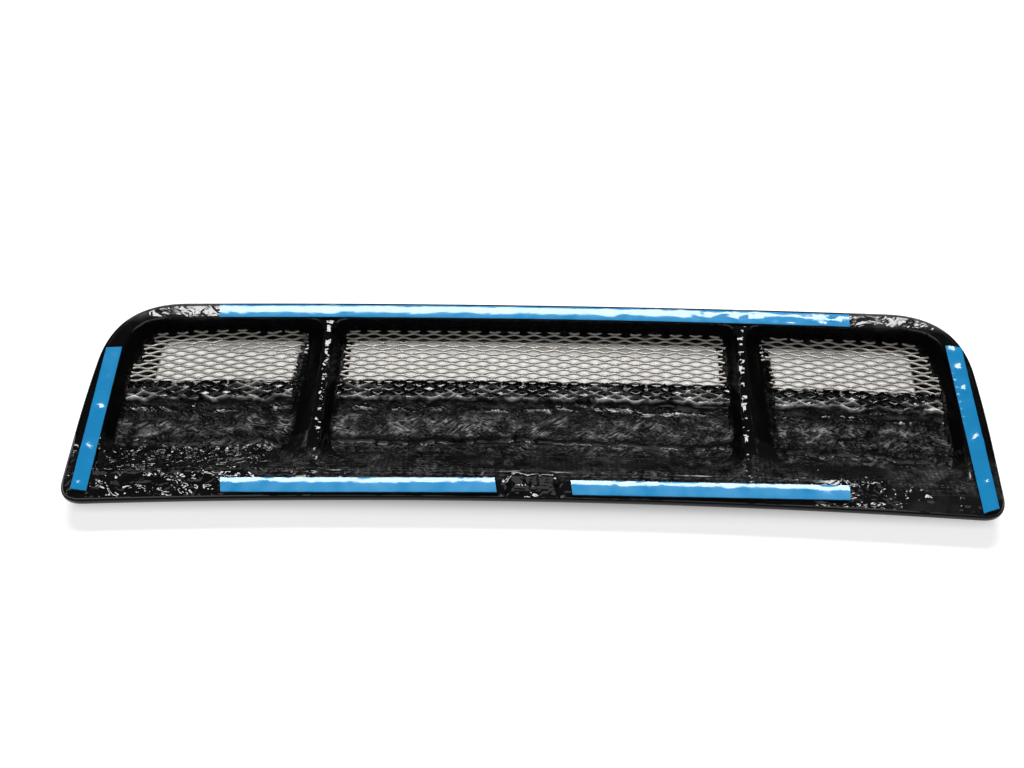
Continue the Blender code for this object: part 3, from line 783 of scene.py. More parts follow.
def shell_lines(plan):
    """Plan places of the grid's rows, and of its columns at each row, closer together at the long edges."""
    size = plan.size
    near, far = size.bead_round, size.depth - size.bead_round
    corner, fine = near + NEAR_FINE, far - FAR_FINE
    start = near + (corner - near) * np.linspace(0.0, 1.0, 13) ** 2
    middle = np.linspace(corner, plan.floor_far, int((plan.floor_far - corner) / size.cell))
    wall = np.array([lerp(plan.floor_far, plan.brim_far, part) for part in (0.33, 0.67, 1.0)])
    brim = np.linspace(plan.brim_far, fine, int((fine - plan.brim_far) / size.cell) + 2)
    end = far - (far - fine) * np.linspace(1.0, 0.0, 9) ** 2
    rows = np.concatenate([start, middle[1:], wall, brim[1:], end[1:]])
    edge = grow_loop(plan.outline(0.001), -size.bead_round)
    right = edge[edge[:, 0] > 0.05]
    right = right[np.argsort(right[:, 1], kind="stable")]
    bounds = np.interp(rows, right[:, 1], right[:, 0])
    for index, row in enumerate(rows):
        level = np.abs(right[:, 1] - row) < 1e-6
        if level.any():
            bounds[index] = right[level, 0].max()
    crest = size.ridge_at - size.ridge_crest / 2.0
    ridge = size.ridge_at + size.ridge_crest / 2.0
    side = np.minimum(plan.bay_side(rows), bounds - SIDE_FINE)
    stops = np.stack([0.0 * rows, crest + 0.0 * rows, ridge + 0.0 * rows, side, bounds], 1)
    spans = stops.max(0)[1:] - stops.max(0)[:-1]
    counts = [max(3, int(round(span / size.cell))) for span in spans]
    steps = [index + np.arange(1, count + 1) / count for index, count in enumerate(counts)]
    shares = np.concatenate([[0.0], *steps])
    half = np.stack([np.interp(shares, np.arange(5), line) for line in stops])
    x = np.hstack([-half[:, :0:-1], half])
    return x, np.repeat(rows[:, None], x.shape[1], 1)


def averaged(function, x, y, reach):
    """A height field averaged over a small square round every point, which keeps steep walls even."""
    total = 0.0
    for step_x in (-reach, reach):
        for step_y in (-reach, reach):
            total = total + function(x + step_x, y + step_y)
    return total / 4.0


def line_distance(x, y, line):
    """Distance of plan points from an open line through given points."""
    best = np.full(np.shape(x), 1.0)
    for (x0, y0), (x1, y1) in zip(line, line[1:]):
        run_x, run_y = x1 - x0, y1 - y0
        part = np.clip(((x - x0) * run_x + (y - y0) * run_y) / (run_x ** 2 + run_y ** 2), 0.0, 1.0)
        best = np.minimum(best, np.hypot(x - x0 - run_x * part, y - y0 - run_y * part))
    return best


# Bends of the creases at the foot of the near slope, in plan.
CREASES = (
    [(-0.262, 0.0520), (-0.232, 0.0468), (-0.202, 0.0440), (-0.188, 0.0470),
     (-0.180, 0.0510), (-0.172, 0.0475), (-0.162, 0.0440), (-0.150, 0.0460)],
    [(-0.128, 0.0500), (-0.100, 0.0485), (-0.070, 0.0492), (-0.040, 0.0500), (-0.008, 0.0515),
     (0.020, 0.0500), (0.060, 0.0492), (0.095, 0.0480), (0.126, 0.0500)],
    [(0.168, 0.0475), (0.190, 0.0465), (0.222, 0.0490), (0.240, 0.0455), (0.262, 0.0440)],
)

# Height, shift along Y and width of a crease's groove and of the swellings beside it.
CREASE_SECTION = ((0.00055, 0.0032, 0.0026), (-0.00190, 0.0, 0.0017), (0.00090, -0.0030, 0.0026))

# Height of each unevenness, the size of its grains along X and along Y, its seed and its octaves.
GRAINS = {
    "land waves": (0.00012, 0.020, 0.014, 1.0, 3),
    "floor waves": (0.00080, 0.050, 0.018, 2.0, 2),
    "swirl": (1.0, 0.012, 0.012, 3.0, 2),
    "floor folds": (0.00085, 0.018, 0.0060, 4.0, 3),
    "slope folds": (0.00040, 0.018, 0.006, 5.0, 3),
    "crease wander": (0.0016, 0.018, 0.030, 6.0, 3),
    "crease jitter": (0.0006, 0.005, 0.010, 15.0, 2),
    "ridge knots": (0.00060, 0.0040, 0.0130, 7.0, 3),
    "arch lumps": (0.0016, 0.0060, 0.0060, 8.0, 3),
    "wall waves": (0.00018, 0.0070, 0.0070, 9.0, 3),
    "corner lumps": (0.0008, 0.0075, 0.0048, 13.0, 2),
    "corner wander": (0.0022, 0.026, 0.020, 16.0, 2),
    "patches": (1.0, 0.030, 0.018, 11.0, 3),
    "small patches": (1.0, 0.013, 0.0065, 14.0, 2),
    "edge drift": (0.010, 0.030, 0.030, 12.0, 2),
    "resin near lip": (0.0022, 0.016, 1.0, 0.0, 3),
    "resin patches": (1.0, 0.014, 0.008, 1.0, 2),
    "bead patches": (1.1, 0.011, 0.03, 2.0, 2),
    "bead knots": (0.00022, 0.0030, 0.0026, 3.0, 2),
    "resin far lip": (0.0016, 0.009, 1.0, 4.0, 3),
    "strand sway": (0.0008, 0.008, 0.006, 5.0, 2),
    "bead line": (0.0016, 0.006, 1.0, 6.0, 2),
    "bare reach": (0.012, 0.050, 0.030, 7.0, 2),
    "bright patches": (1.0, 0.020, 0.007, 8.0, 3),
    "strip edge": (0.00012, 0.012, 1.0, 31.0, 2),
    "film waves": (1.0, 0.016, 0.010, 0.0, 2),
    "film ripples": (0.5, 0.006, 0.006, 1.0, 2),
}

# Plan heights at which each zone begins, is full, starts to fade and has ended.
ZONES = {
    "corner folds": (0.009, 0.012, 0.028, 0.033),
    "corner lumps": (0.016, 0.024, 0.046, 0.054),
    "ridge": (0.016, 0.026, 0.138, 0.146),
    "slope": (0.018, 0.026, 0.040, 0.048),
    "slope cloth": (0.018, 0.030, 0.040, 0.050),
    "floor folds": (0.040, 0.056, 0.080, 0.088),
    "lip": (0.0765, 0.0880, 0.0985, 0.1040),
}

# The folds of the near corners, and the rises of the floor under the resin and at the foot of the slope.
FOLD_PITCH = 0.0072
FOLD_HEIGHT = 0.00068
GENTLE_SHARE = 0.82
LIP_RISE = 0.0016
FOOT_RISE = 0.0011


def grain(name, x, y, seed=0.0):
    """One unevenness at plan points. A seed of its own sets one piece apart from its likes."""
    height, across, along, own, octaves = GRAINS[name]
    return height * rough(x, y, across, along, own + seed, octaves)


def zone(name, y):
    """How fully plan heights lie in a zone."""
    begins, full, fades, ended = ZONES[name]
    return smooth_step(y, begins, full) * fade(y, fades, ended)


def shell_heights(plan, x, y):
    """Heights of the taped side and of the outer side, and how far each point lies down each bay."""
    size = plan.size
    down = {}
    top = np.full(x.shape, plan.land)
    under = np.full(x.shape, plan.land - size.skin)
    reach = size.cell * 0.3
    for which in SIDES:
        brim, floor = plan.bay_pair(which)
        down[which] = averaged(lambda a, b: share_down(brim, floor, a, b), x, y, reach)
        drop = averaged(lambda a, b: rounded_drop(share_down(brim, floor, a, b)), x, y, reach)
        top -= size.bay_depth * drop
        brim, floor = plan.bay_pair(which, size.skin)
        drop = averaged(lambda a, b: rounded_drop(share_down(brim, floor, a, b)), x, y, reach)
        under -= size.bay_depth * drop
    brim, floor = plan.arch_pair()
    down["arch"] = share_down(brim, floor, x, y)
    press = rounded_drop(down["arch"], 0.3) * size.arch_drop
    top -= press
    under -= press
    edge = line_distance(x, y, np.vstack([plan.outline(0.004), plan.outline(0.004)[:1]]))
    bead = fade(edge, size.bead_width - 0.0004, size.bead_width + size.bead_drop * 0.4)
    foot = plan.land - size.skin - size.bead_drop
    under = under + (np.minimum(under, foot) - under) * bead
    down["edge"] = edge
    return top, under, down


def crease_gaps(x, y, shift=0.0):
    """Distances of plan points from the creases, moved a little along Y."""
    wander = grain("crease wander", x, y) + grain("crease jitter", x, y)
    return np.minimum.reduce([line_distance(x, y + wander - shift, line) for line in CREASES])


def creased(x, y):
    """Heights of the creases and of the swellings beside them."""
    section = [(height, crease_gaps(x, y, shift), width) for height, shift, width in CREASE_SECTION]
    return sum(height * bump_at(gaps, 0.0, width) for height, gaps, width in section)


def lip_rise(y):
    """How far the laminate rises under the resin along the near edge of the sheets."""
    return LIP_RISE * zone("lip", y)


def corner_folds(x, y):
    """Folds along the near corners, gentle on the side that faces the far edge."""
    ends = smooth_step(-x, 0.165, 0.185) + 0.7 * smooth_step(x, 0.180, 0.195) * fade(x, 0.222, 0.236)
    phase = (y + grain("corner wander", x, y)) / FOLD_PITCH % 1.0
    steep = (phase - GENTLE_SHARE) / (1.0 - GENTLE_SHARE)
    return FOLD_HEIGHT * np.where(phase < GENTLE_SHARE, 1.0 - phase / GENTLE_SHARE, steep) * ends


def hand_relief(plan, x, y, down):
    """The unevenness of the hand-laid side: waves, folds, creases and lumps, and a calm rim."""
    bays = sum(down[which] for which in SIDES)
    floor = smooth_step(bays, 0.75, 1.0)
    foot = smooth_step(bays, 0.6, 1.0)
    swirl = grain("swirl", x, y)
    crest = bump_at(np.abs(x), plan.size.ridge_at + 0.001, 0.0060)
    arch = smooth_step(down["arch"], 0.02, 0.5) * smooth_step(y, 0.004, 0.009)
    left_corner = smooth_step(-x, 0.165, 0.190)
    relief = grain("land waves", x, y) * fade(bays, 0.0, 0.15)
    relief += grain("floor waves", x, y) * floor * fade(y, 0.086, 0.094)
    relief += grain("floor folds", x + 0.004 * swirl, y + 0.1 * x) * floor * zone("floor folds", y)
    relief += grain("slope folds", x, y) * zone("slope", y) * smooth_step(bays, 0.05, 0.4)
    relief += creased(x, y) * smooth_step(bays, 0.5, 0.9)
    relief += grain("ridge knots", x, y) * crest * zone("ridge", y)
    relief += grain("arch lumps", x, y) * arch
    relief += grain("wall waves", x, y) * bays * (1.0 - floor)
    relief += lip_rise(y + 0.002 * swirl) * foot
    relief += grain("corner lumps", x, y) * left_corner * zone("corner lumps", y)
    relief += corner_folds(x, y) * zone("corner folds", y)
    relief += FOOT_RISE * fade(y + 0.003 * swirl, 0.052, 0.078) * foot
    return relief * smooth_step(down["edge"], 0.0018, 0.0045) * plan.size.relief


def finish_masks(plan, x, y, down):
    """Where the weave shows, where resin is crinkled or wet, where the cloth is hazy, fibrous or bare of
    resin, and where painted light and painted shade lie on it.
    """
    bays = sum(down[which] for which in SIDES)
    patchy = grain("patches", x, y)
    drift = grain("edge drift", x, y)
    near = fade(y, 0.034, 0.046)
    land = fade(bays, 0.0, 0.3)
    rise = smooth_step(bays, 0.02, 0.12)
    foot = smooth_step(bays, 0.70, 0.86)
    floor = smooth_step(bays, 0.8, 1.0)
    arch = smooth_step(down["arch"], 0.0, 0.2)
    arch_rim = fade(y, 0.009, 0.012)
    far_wall = smooth_step(y, plan.floor_far - 0.004, plan.floor_far - 0.001) * smooth_step(bays, 0.02, 0.1)
    flank = smooth_step(bays, 0.05, 0.20) * smooth_step(y, 0.048, 0.056)
    far_land = smooth_step(y, 0.140, 0.146) * smooth_step(np.abs(x), 0.205, 0.225) * land
    rim = fade(down["edge"], 0.0020, 0.0050)
    crest = bump_at(np.abs(x), plan.size.ridge_at + 0.0005, 0.0034)
    corner_left = smooth_step(-x, 0.165 + drift, 0.185 + drift) * fade(y, 0.040, 0.052)
    corner_right = bump_at(x + drift, 0.207, 0.024) * near
    corner_woven = smooth_step(x, 0.222, 0.236) * near
    land_cloth = near * smooth_step(y, 0.010, 0.016) * (0.85 + 0.5 * patchy)
    slope_cloth = smooth_step(bays, 0.03, 0.2) * zone("slope cloth", y) * near

    glossy = (corner_left + corner_right) * 1.3 + crest * 0.45 + arch * (1.0 - arch_rim) + far_land * 0.3
    glossy = glossy * (0.75 + 0.6 * patchy) + 0.18 * floor + 0.25 * near * (patchy > 0.1)
    glossy = np.clip(glossy, 0.0, 1.0)
    weave = np.clip(near * (0.9 + 0.6 * patchy) * (0.45 + 0.55 * rise) - glossy * 0.7, 0.0, 1.0)
    haze = far_land * (0.9 + 0.5 * patchy) + corner_woven * 0.45 + floor * 0.04 + near * 0.10
    fibre = np.clip(foot + 0.7 * slope_cloth + far_wall, 0.0, 1.0) * (1.0 - 0.8 * glossy)
    # Painted shade, partly wet resin: in the creases and in a band below the resin lip the grey tone fades to
    # black and the glossy cover takes over.
    crease = bump_at(crease_gaps(x, y), 0.0, 0.0016)
    lip_shade_band = bump_at(y + 0.2 * drift, 0.0785, 0.0050)
    dry_and_unshaded = 1.0 - np.clip(0.9 * crease + 0.5 * lip_shade_band, 0.0, 1.0) * foot
    dull = np.clip(foot + far_wall + land_cloth * (1.0 - arch) + flank - glossy + rim, 0.0, 1.0) * dry_and_unshaded
    # Painted light: the floor is lighter in a band between the crease and the resin lip and along the crease,
    # varied by random patches.
    painted_light_bands = smooth_step(y, 0.0530, 0.0575) * fade(y + 0.3 * drift, 0.0670, 0.0740)
    painted_light_bands = painted_light_bands + 0.9 * bump_at(y, 0.0470, 0.0028) + 0.22 * (y < 0.043) + 0.10
    tone_and_painted_light = np.clip(painted_light_bands * (0.40 + 0.75 * grain("small patches", x, y) + 0.45 * patchy), 0.0, 1.0)
    tone_and_painted_light = tone_and_painted_light * np.maximum(foot, 0.8 * land_cloth) * dry_and_unshaded + 0.55 * arch * arch_rim
    return {
        "weave": weave * smooth_step(y, 0.010, 0.015),
        "crinkle": glossy * (1.0 + 1.4 * rise * corner_left),
        "haze": np.clip(haze, 0.0, 1.0),
        "fibre": fibre,
        "dull": dull,
        "tone_and_painted_light": np.clip(tone_and_painted_light, 0.0, 1.0),
    }


def cut_windows(plan, x, y):
    """Which grid cells stay, with the points round each window moved onto its outline."""
    middle_x = (x[:-1, :-1] + x[1:, 1:]) / 2.0
    middle_y = (y[:-1, :-1] + y[1:, 1:]) / 2.0
    keep = np.ones(middle_x.shape, bool)
    for which in SIDES:
        loop = plan.window(which)
        hole = inside(loop, middle_x, middle_y)
        keep &= ~hole
        padded = np.pad(hole, 1)
        touched = np.stack([padded[:-1, :-1], padded[:-1, 1:], padded[1:, :-1], padded[1:, 1:]])
        border = touched.any(0) & ~touched.all(0)
        for row, column in np.argwhere(border):
            gaps = np.hypot(loop[:, 0] - x[row, column], loop[:, 1] - y[row, column])
            nearest = loop[gaps.argmin()]
            x[row, column], y[row, column] = nearest
    return keep


RIM_ANGLES = (22.5, 45.0, 67.5, 90.0)


def rounded_rim(plan):
    """The rounded edge in steps from the taped side to the bead's foot, as (outward, level) pairs."""
    size = plan.size
    foot = plan.land - size.skin - size.bead_drop
    bends = [(math.sin(math.radians(angle)), 1.0 - math.cos(math.radians(angle))) for angle in RIM_ANGLES]
    upper = [(size.bead_round * out, plan.land - size.bead_round * drop) for out, drop in bends]
    lower = [(size.bead_round * out, foot + size.bead_round * drop) for out, drop in reversed(bends)]
    return upper + lower


def build_laminate():
    """The whole laminate as one closed sheet."""
    scene = bpy.context.scene
    plan = Plan(scene.insert_shell)
    x, y = shell_lines(plan)
    top, under, down = shell_heights(plan, x, y)
    top = top + hand_relief(plan, x, y, down)
    masks = finish_masks(plan, x, y, down)
    keep = cut_windows(plan, x, y)
    points, faces, used = closed_sheet(x, plan.world_y(x, y), top, under, keep, rounded_rim(plan))
    piece = new_piece("laminate", points, faces, laminate_finish(scene.insert_finish), ["shell"])
    count = x.size
    for name, values in masks.items():
        kept = np.where(used < count, values.ravel()[np.minimum(used, count - 1)], 0.0)
        store(piece.data, name, kept)
    piece.data.materials.append(outer_finish(scene.insert_finish))
    lowest = (used >= count)[np.array(faces)].all(1)
    piece.data.polygons.foreach_set("material_index", lowest.astype(np.int32))


# Expanded metal

def sheet_frame(plan, which, mesh):
    """Middle and turn of a sheet's lattice."""
    _, floor = plan.bay_pair(which)
    near = plan.window_near - 0.003
    middle = ((floor[:, 0].min() + floor[:, 0].max()) / 2.0, (near + plan.brim_far) / 2.0)
    return middle, {"left": mesh.tilt, "center": 0.0, "right": -mesh.tilt}[which]


def to_plan(middle, turned, x, y):
    """A lattice place as a plan place."""
    cosine, sine = math.cos(turned), math.sin(turned)
    return middle[0] + x * cosine - y * sine, middle[1] + x * sine + y * cosine


def strand_section(mesh):
    """The rounded oblong section of a strand, across and up."""
    wide, thick, cut = mesh.strand / 2.0, mesh.sheet / 2.0, mesh.sheet * 0.14
    return [(-wide + cut, -thick), (wide - cut, -thick), (wide, -thick + cut), (wide, thick - cut),
            (wide - cut, thick), (-wide + cut, thick), (-wide, thick - cut), (-wide, -thick + cut)]


# The sheets' gaps to the walls and to the floor, and the cells that are tried beyond and across a bay.
SHEET_TRIM = 0.0009
SHEET_LIFT = 0.0004
SPARE_COLUMNS = 30
MOST_ROWS = 16

# How a strand runs: its rings, and how it bends, steps aside, rises and overlaps at its bonds.
STATIONS = 7
BOND_BEND = 0.55
BOND_SHIFT = 0.42
BOND_RISE = 0.00022
BOND_LAP = 0.06

# How far a sheet dips where the resin holds it, and how wavy it lies.
SINK_AT_RESIN = 0.0011
SHEET_WAVE = 0.0006


def add_tube(verts, faces, rings):
    """A closed tube through rings that have the same number of points."""
    base, count = len(verts), len(rings[0])
    for ring in rings:
        verts.extend(ring)
    last = len(verts) - count
    for start in range(base, last, count):
        for index in range(count):
            a, b = start + index, start + (index + 1) % count
            faces.append((a, b, b + count, a + count))
    faces.append(list(range(base + count - 1, base - 1, -1)))
    faces.append(list(range(last, len(verts))))


def strand_rings(plan, mesh, lattice, start, end, first, last):
    """Rings of points along a strand, which bends where it meets its bonds and twists between them."""
    level = plan.size.skin + SHEET_LIFT + mesh.sheet * 0.5
    section = strand_section(mesh)
    direction = 1.0 if end[1] > start[1] else -1.0
    offset = mesh.strand * BOND_SHIFT * direction
    rings = []
    for step in range(STATIONS):
        part = lerp(first, last, step / (STATIONS - 1))
        turn_of_bend = 2.0 * math.pi * part
        px = lerp(start[0], end[0], part)
        sway = part - BOND_BEND * math.sin(turn_of_bend) / (2.0 * math.pi)
        py = lerp(start[1] + offset, end[1] - offset, sway)
        slope = (end[1] - start[1]) / (end[0] - start[0]) * (1.0 - BOND_BEND * math.cos(turn_of_bend))
        along = Vector((1.0, slope)).normalized()
        lean = mesh.twist * math.sin(math.pi * min(max(part, 0.0), 1.0))
        rise = BOND_RISE * direction * math.cos(math.pi * part)
        ring = []
        for across, up in section:
            wide = across * math.cos(lean) - up * math.sin(lean)
            high = across * math.sin(lean) + up * math.cos(lean)
            x, y = to_plan(*lattice, px - along.y * wide, py + along.x * wide)
            wave = SHEET_WAVE * noise.noise((x * 22.0, y * 30.0, 3.0)) + SHEET_WAVE / 2.0
            sink = SINK_AT_RESIN * float(fade(y, 0.0935, 0.1000))
            ring.append((x, float(plan.world_y(x, y)), level + high + rise + wave - sink))
        rings.append(ring)
    return rings


def build_sheet(which):
    """One sheet of expanded metal, strand by strand, with its cut ends."""
    scene = bpy.context.scene
    plan = Plan(scene.insert_shell)
    mesh = scene.insert_mesh
    lattice = sheet_frame(plan, which, mesh)
    _, floor = plan.bay_pair(which)
    area = grow_loop(floor, -SHEET_TRIM)
    half_long, half_short = mesh.long_way / 2.0, mesh.short_way / 2.0
    chance = random.Random(SIDES.index(which) + 5)
    verts, faces = [], []

    def holds(place):
        x, y = to_plan(*lattice, *place)
        return bool(inside(area, np.array(x), np.array(y))) and y > mesh.near

    across = int(floor[:, 0].max() / mesh.long_way) + SPARE_COLUMNS
    for column in range(-across, across + 1):
        for row in range(-MOST_ROWS, MOST_ROWS + 1):
            if (column + row) % 2 == 0:
                continue
            start = (column * half_long, row * half_short)
            for way in (1, -1):
                end = ((column + 1) * half_long, (row + way) * half_short)
                first, last = -BOND_LAP, 1.0 + BOND_LAP
                start_in, end_in = holds(start), holds(end)
                if not start_in and not end_in:
                    continue
                if not end_in:
                    last = chance.uniform(0.45, 0.90)
                elif not start_in:
                    first = chance.uniform(0.10, 0.55)
                add_tube(verts, faces, strand_rings(plan, mesh, lattice, start, end, first, last))
    material = metal_finish(scene.insert_finish)
    piece = new_piece("expanded_metal_" + which, verts, faces, material, ["mesh_" + which])


# Resin over the near cells of the sheets

def lattice_gap(plan, which, mesh, x, y):
    """Distance of plan points from the nearest strand of a sheet."""
    middle, turned = sheet_frame(plan, which, mesh)
    cosine, sine = math.cos(turned), math.sin(turned)
    u = ((x - middle[0]) * cosine + (y - middle[1]) * sine) / mesh.long_way
    v = ((y - middle[1]) * cosine - (x - middle[0]) * sine) / mesh.short_way
    first = np.abs((u + v + 0.5) % 1.0 - 0.5)
    second = np.abs((u - v + 0.5) % 1.0 - 0.5)
    slope = mesh.long_way * mesh.short_way / math.hypot(mesh.long_way, mesh.short_way)
    return np.minimum(0.5 - first, 0.5 - second) * slope


# How far beyond the band the walls are looked at, the half width of a coated strand, and the near bead.
RESIN_REACH = 0.012
STRAND_COAT = 0.00060
BEAD_HEIGHT = 0.0013
BEAD_WIDTH = 0.0008
BEAD_INSET = 0.0024


def resin_grid(plan, which, resin):
    """Plan points of the flooded band of a bay, a little into the walls on both sides."""
    _, floor = plan.bay_pair(which)
    crossing = floor[(floor[:, 1] > resin.near - RESIN_REACH) & (floor[:, 1] < resin.far + RESIN_REACH)]
    middle = (floor[:, 0].min() + floor[:, 0].max()) / 2.0
    left = crossing[crossing[:, 0] < middle, 0].max() - 0.001
    right = crossing[crossing[:, 0] > middle, 0].min() + 0.001
    low, high = resin.near - 0.003, resin.far + 0.002
    columns = np.linspace(left, right, int((right - left) / resin.cell))
    return np.meshgrid(columns, np.linspace(low, high, int((high - low) / resin.cell)))


def build_resin(which):
    """The flooded band of resin, with the coated strands standing out of it like a net."""
    scene = bpy.context.scene
    plan = Plan(scene.insert_shell)
    mesh, resin = scene.insert_mesh, scene.insert_resin
    x, y = resin_grid(plan, which, resin)
    seed = 20.0 + SIDES.index(which)
    level = 0.0 * x
    near_lip = resin.near + grain("resin near lip", x, level, seed)
    far_lip = resin.far + grain("resin far lip", x, level, seed)
    gap = lattice_gap(plan, which, mesh, x + grain("strand sway", x, y, seed), y)
    reach = far_lip + 0.0010 - 1.5 * np.minimum(gap, 0.0018)
    lip = smooth_step(y, near_lip, near_lip + 0.0022) * fade(y, reach - 0.0014, reach)
    patchy = grain("resin patches", x, y, seed)
    net = bump_at(gap, 0.0, STRAND_COAT * (1.0 + 0.5 * fade(y, near_lip, near_lip + 0.008)))
    net = net * np.clip(0.95 + 0.5 * patchy, 0.6, 1.0)
    bead_at = near_lip + BEAD_INSET + grain("bead line", x, level, seed)
    bead = bump_at(y, bead_at, BEAD_WIDTH) * np.clip(0.65 + grain("bead patches", x, y, seed), 0.0, 1.2)
    net_height = resin.net * net * (1.0 - 0.6 * np.clip(bead, 0.0, 1.0))
    height = resin.body * (1.0 + 0.5 * patchy) + net_height + BEAD_HEIGHT * bead
    height = height * lip + grain("bead knots", x, y, seed) * bead
    top = plan.size.skin - 0.0004 + lip_rise(y) + height + 0.0006 * lip
    bottom = np.full(x.shape, plan.size.skin - 0.0012)
    points, faces, used = closed_sheet(x, plan.world_y(x, y), top, bottom)
    material = resin_finish(scene.insert_finish)
    piece = new_piece("resin_net_" + which, points, faces, material, ["resin_bead_" + which])
    bare_to = near_lip + 0.0076 + grain("bare reach", x, y, seed)
    bare = fade(y, bare_to, bare_to + 0.005)
    bright = smooth_step(grain("bright patches", x, y, seed), -0.20, 0.35)
    # Painted highlight, partly: the tops of the net near the near lip and the bright patches of the bead take
    # the pale grey.
    worn_and_highlight = np.clip(net ** 2 * 1.1 * bright * bare + (0.15 + 0.95 * bright) * bead, 0.0, 1.0) * lip
    store(piece.data, "worn_and_highlight", np.concatenate([worn_and_highlight.ravel(), np.zeros(x.size)])[used])


# Tape

# The gap between bonded pieces and the thickness of the foam.
GAP = 0.0003
FOAM = 0.0010


class Strip(NamedTuple):
    """How one strip of tape was cut and laid, and how its film bulges."""

    # Along X from the edge beside each end, and across from the near edge or, below 0, from the far one.
    shifts: tuple
    heights: tuple
    # How far the two cuts run askew over half the width.
    slants: tuple
    # The film's height above its crown, its lean to the near side and its fall beyond a place across it.
    rise: float
    lean: float
    fall: float
    fall_from: float
    # The waves, how much they swell to the right, and their seed.
    waves: float
    seed: float
    swell: float = 0.0
    # How much of the paler blue shows, which is painted light.
    pale: float = 0.0
    # Bulges, each as its share of the length, its side, its reach and its height.
    bulges: tuple = ()


NEAR_FILM = {
    "rise": 0.00005, "lean": 0.00018, "fall": 0.00036, "fall_from": 0.20, "waves": 0.00016, "pale": 1.0}

STRIPS = {
    "top": Strip(
        shifts=(0.0730, -0.0750), heights=(-0.0087, -0.0087), slants=(0.0004, 0.0002),
        rise=0.00010, lean=-0.00006, fall=0.00034, fall_from=-0.20,
        waves=0.00012, seed=40.0, swell=1.8, pale=0.8),
    "left": Strip(
        shifts=(0.0134, 0.0097), heights=(0.0078, -0.0416), slants=(-0.0004, -0.0007),
        rise=-0.00028, lean=-0.00032, fall=0.0, fall_from=0.0, waves=0.00010, seed=42.0,
        bulges=((0.55, -0.2, 0.0026, 0.0005), (0.25, 0.3, 0.0052, 0.0008), (0.17, -0.1, 0.0044, 0.0007),
                (0.03, 0.2, 0.0026, 0.0005))),
    "right": Strip(
        shifts=(-0.0107, -0.0103), heights=(0.0048, -0.0304), slants=(0.0015, 0.0011),
        rise=-0.00026, lean=0.00020, fall=0.0, fall_from=0.0, waves=0.00009, seed=44.0,
        bulges=((0.965, -0.1, 0.0036, 0.0006), (0.85, -0.3, 0.0034, 0.0006), (0.72, -0.2, 0.0024, 0.0005),
                (0.40, -0.45, 0.0046, 0.00075), (0.37, -0.2, 0.0040, 0.0006), (0.15, -0.3, 0.0028, 0.0005),
                *[(0.46 + 0.045 * step, 0.80, 0.0010, 0.0002) for step in range(9)])),
    "bottom_left": Strip(
        shifts=(0.1040, -0.0003), heights=(0.0134, 0.0167), slants=(0.0007, -0.0008), seed=46.0, **NEAR_FILM),
    "bottom_right": Strip(
        shifts=(0.0020, -0.0982), heights=(0.0158, 0.0157), slants=(0.0007, 0.0002), seed=48.0, **NEAR_FILM),
}


def strip_line(plan, name):
    """Both ends of a strip's middle line in plan."""
    strip = STRIPS[name]
    low, high = (y if y > 0.0 else plan.size.depth + y for y in strip.heights)
    half_arch = plan.size.arch_width / 2.0
    beside = {
        "top": (-plan.far_side, plan.far_side),
        "left": (-plan.side_at(low), -plan.side_at(high)),
        "right": (plan.side_at(low), plan.side_at(high)),
        "bottom_left": (-plan.near_side, plan.size.arch_x - half_arch),
        "bottom_right": (plan.size.arch_x + half_arch, plan.near_side),
    }[name]
    return [np.array((edge + shift, y)) for edge, shift, y in zip(beside, strip.shifts, (low, high))]


# How far the near edge of a film droops, and the limits that keep its top between foam and box.
EDGE_DROOP = 0.00015
LEAST_FILM = 0.00010
MOST_CROWN = 0.00052


def film_height(strip, tape, run, parts, sides):
    """Height of a film's top above its underside: its crown, its waves and its bulges."""
    crown = tape.crown + strip.rise - EDGE_DROOP * np.maximum(-sides, 0.0) ** 4 - strip.lean * sides
    beyond = np.clip((sides - strip.fall_from) / (1.0 - strip.fall_from), 0.0, 1.0)
    along, across = parts * run, sides * tape.width / 2.0
    waves = grain("film waves", along, across, strip.seed) + grain("film ripples", along, across, strip.seed)
    waves = strip.waves * waves * (1.0 + strip.swell * smooth_step(parts, 0.55, 0.90))
    bulge = 0.0
    for part, side, reach, height in strip.bulges:
        gap = np.hypot((parts - part) * run, (sides - side) * tape.width / 2.0)
        bulge = bulge + height * bump_at(gap, 0.0, reach)
    soft = 1.0 - np.clip((np.abs(sides) - 0.9) / 0.1, 0.0, 1.0) ** 2 * 0.3
    height = tape.film * soft + crown - strip.fall * beyond ** 1.3 + waves + bulge
    return np.clip(height, LEAST_FILM, tape.film + MOST_CROWN)


def build_film(name):
    """The release film of one strip, a little crowned, with small waves and bulges."""
    scene = bpy.context.scene
    plan = Plan(scene.insert_shell)
    tape, strip = scene.insert_strips, STRIPS[name]
    start, end = strip_line(plan, name)
    run = np.linalg.norm(end - start)
    along = (end - start) / run
    square = np.array([-along[1], along[0]])
    parts, sides = np.meshgrid(np.linspace(0.0, 1.0, int(run / tape.cell) + 1), np.linspace(-1.0, 1.0, 13))
    edge = grain("strip edge", parts * run, sides * 3.0)
    slant = sides * lerp(-strip.slants[0], strip.slants[1], parts)
    place = start + (end - start) * parts[..., None] + along * slant[..., None]
    place = place + square * (sides * tape.width / 2.0 + edge)[..., None]
    x, y = place[..., 0], place[..., 1]
    low = plan.land + GAP + FOAM + GAP
    top = low + film_height(strip, tape, run, parts, sides)
    world_y = plan.world_y(x, y) if name == "top" else y + plan.shift
    points, faces, _ = closed_sheet(x, world_y, top, np.full(x.shape, low))
    material = film_finish(scene.insert_finish)
    piece = new_piece("release_film_" + name, points, faces, material, ["liner_" + name])
    store(piece.data, "pale", np.full(len(points), strip.pale))


# Loose fibres

# Thickness of a loose fibre at its root, and its bends.
FIBRE_RADIUS = 0.00032
FIBRE_STEPS = 4


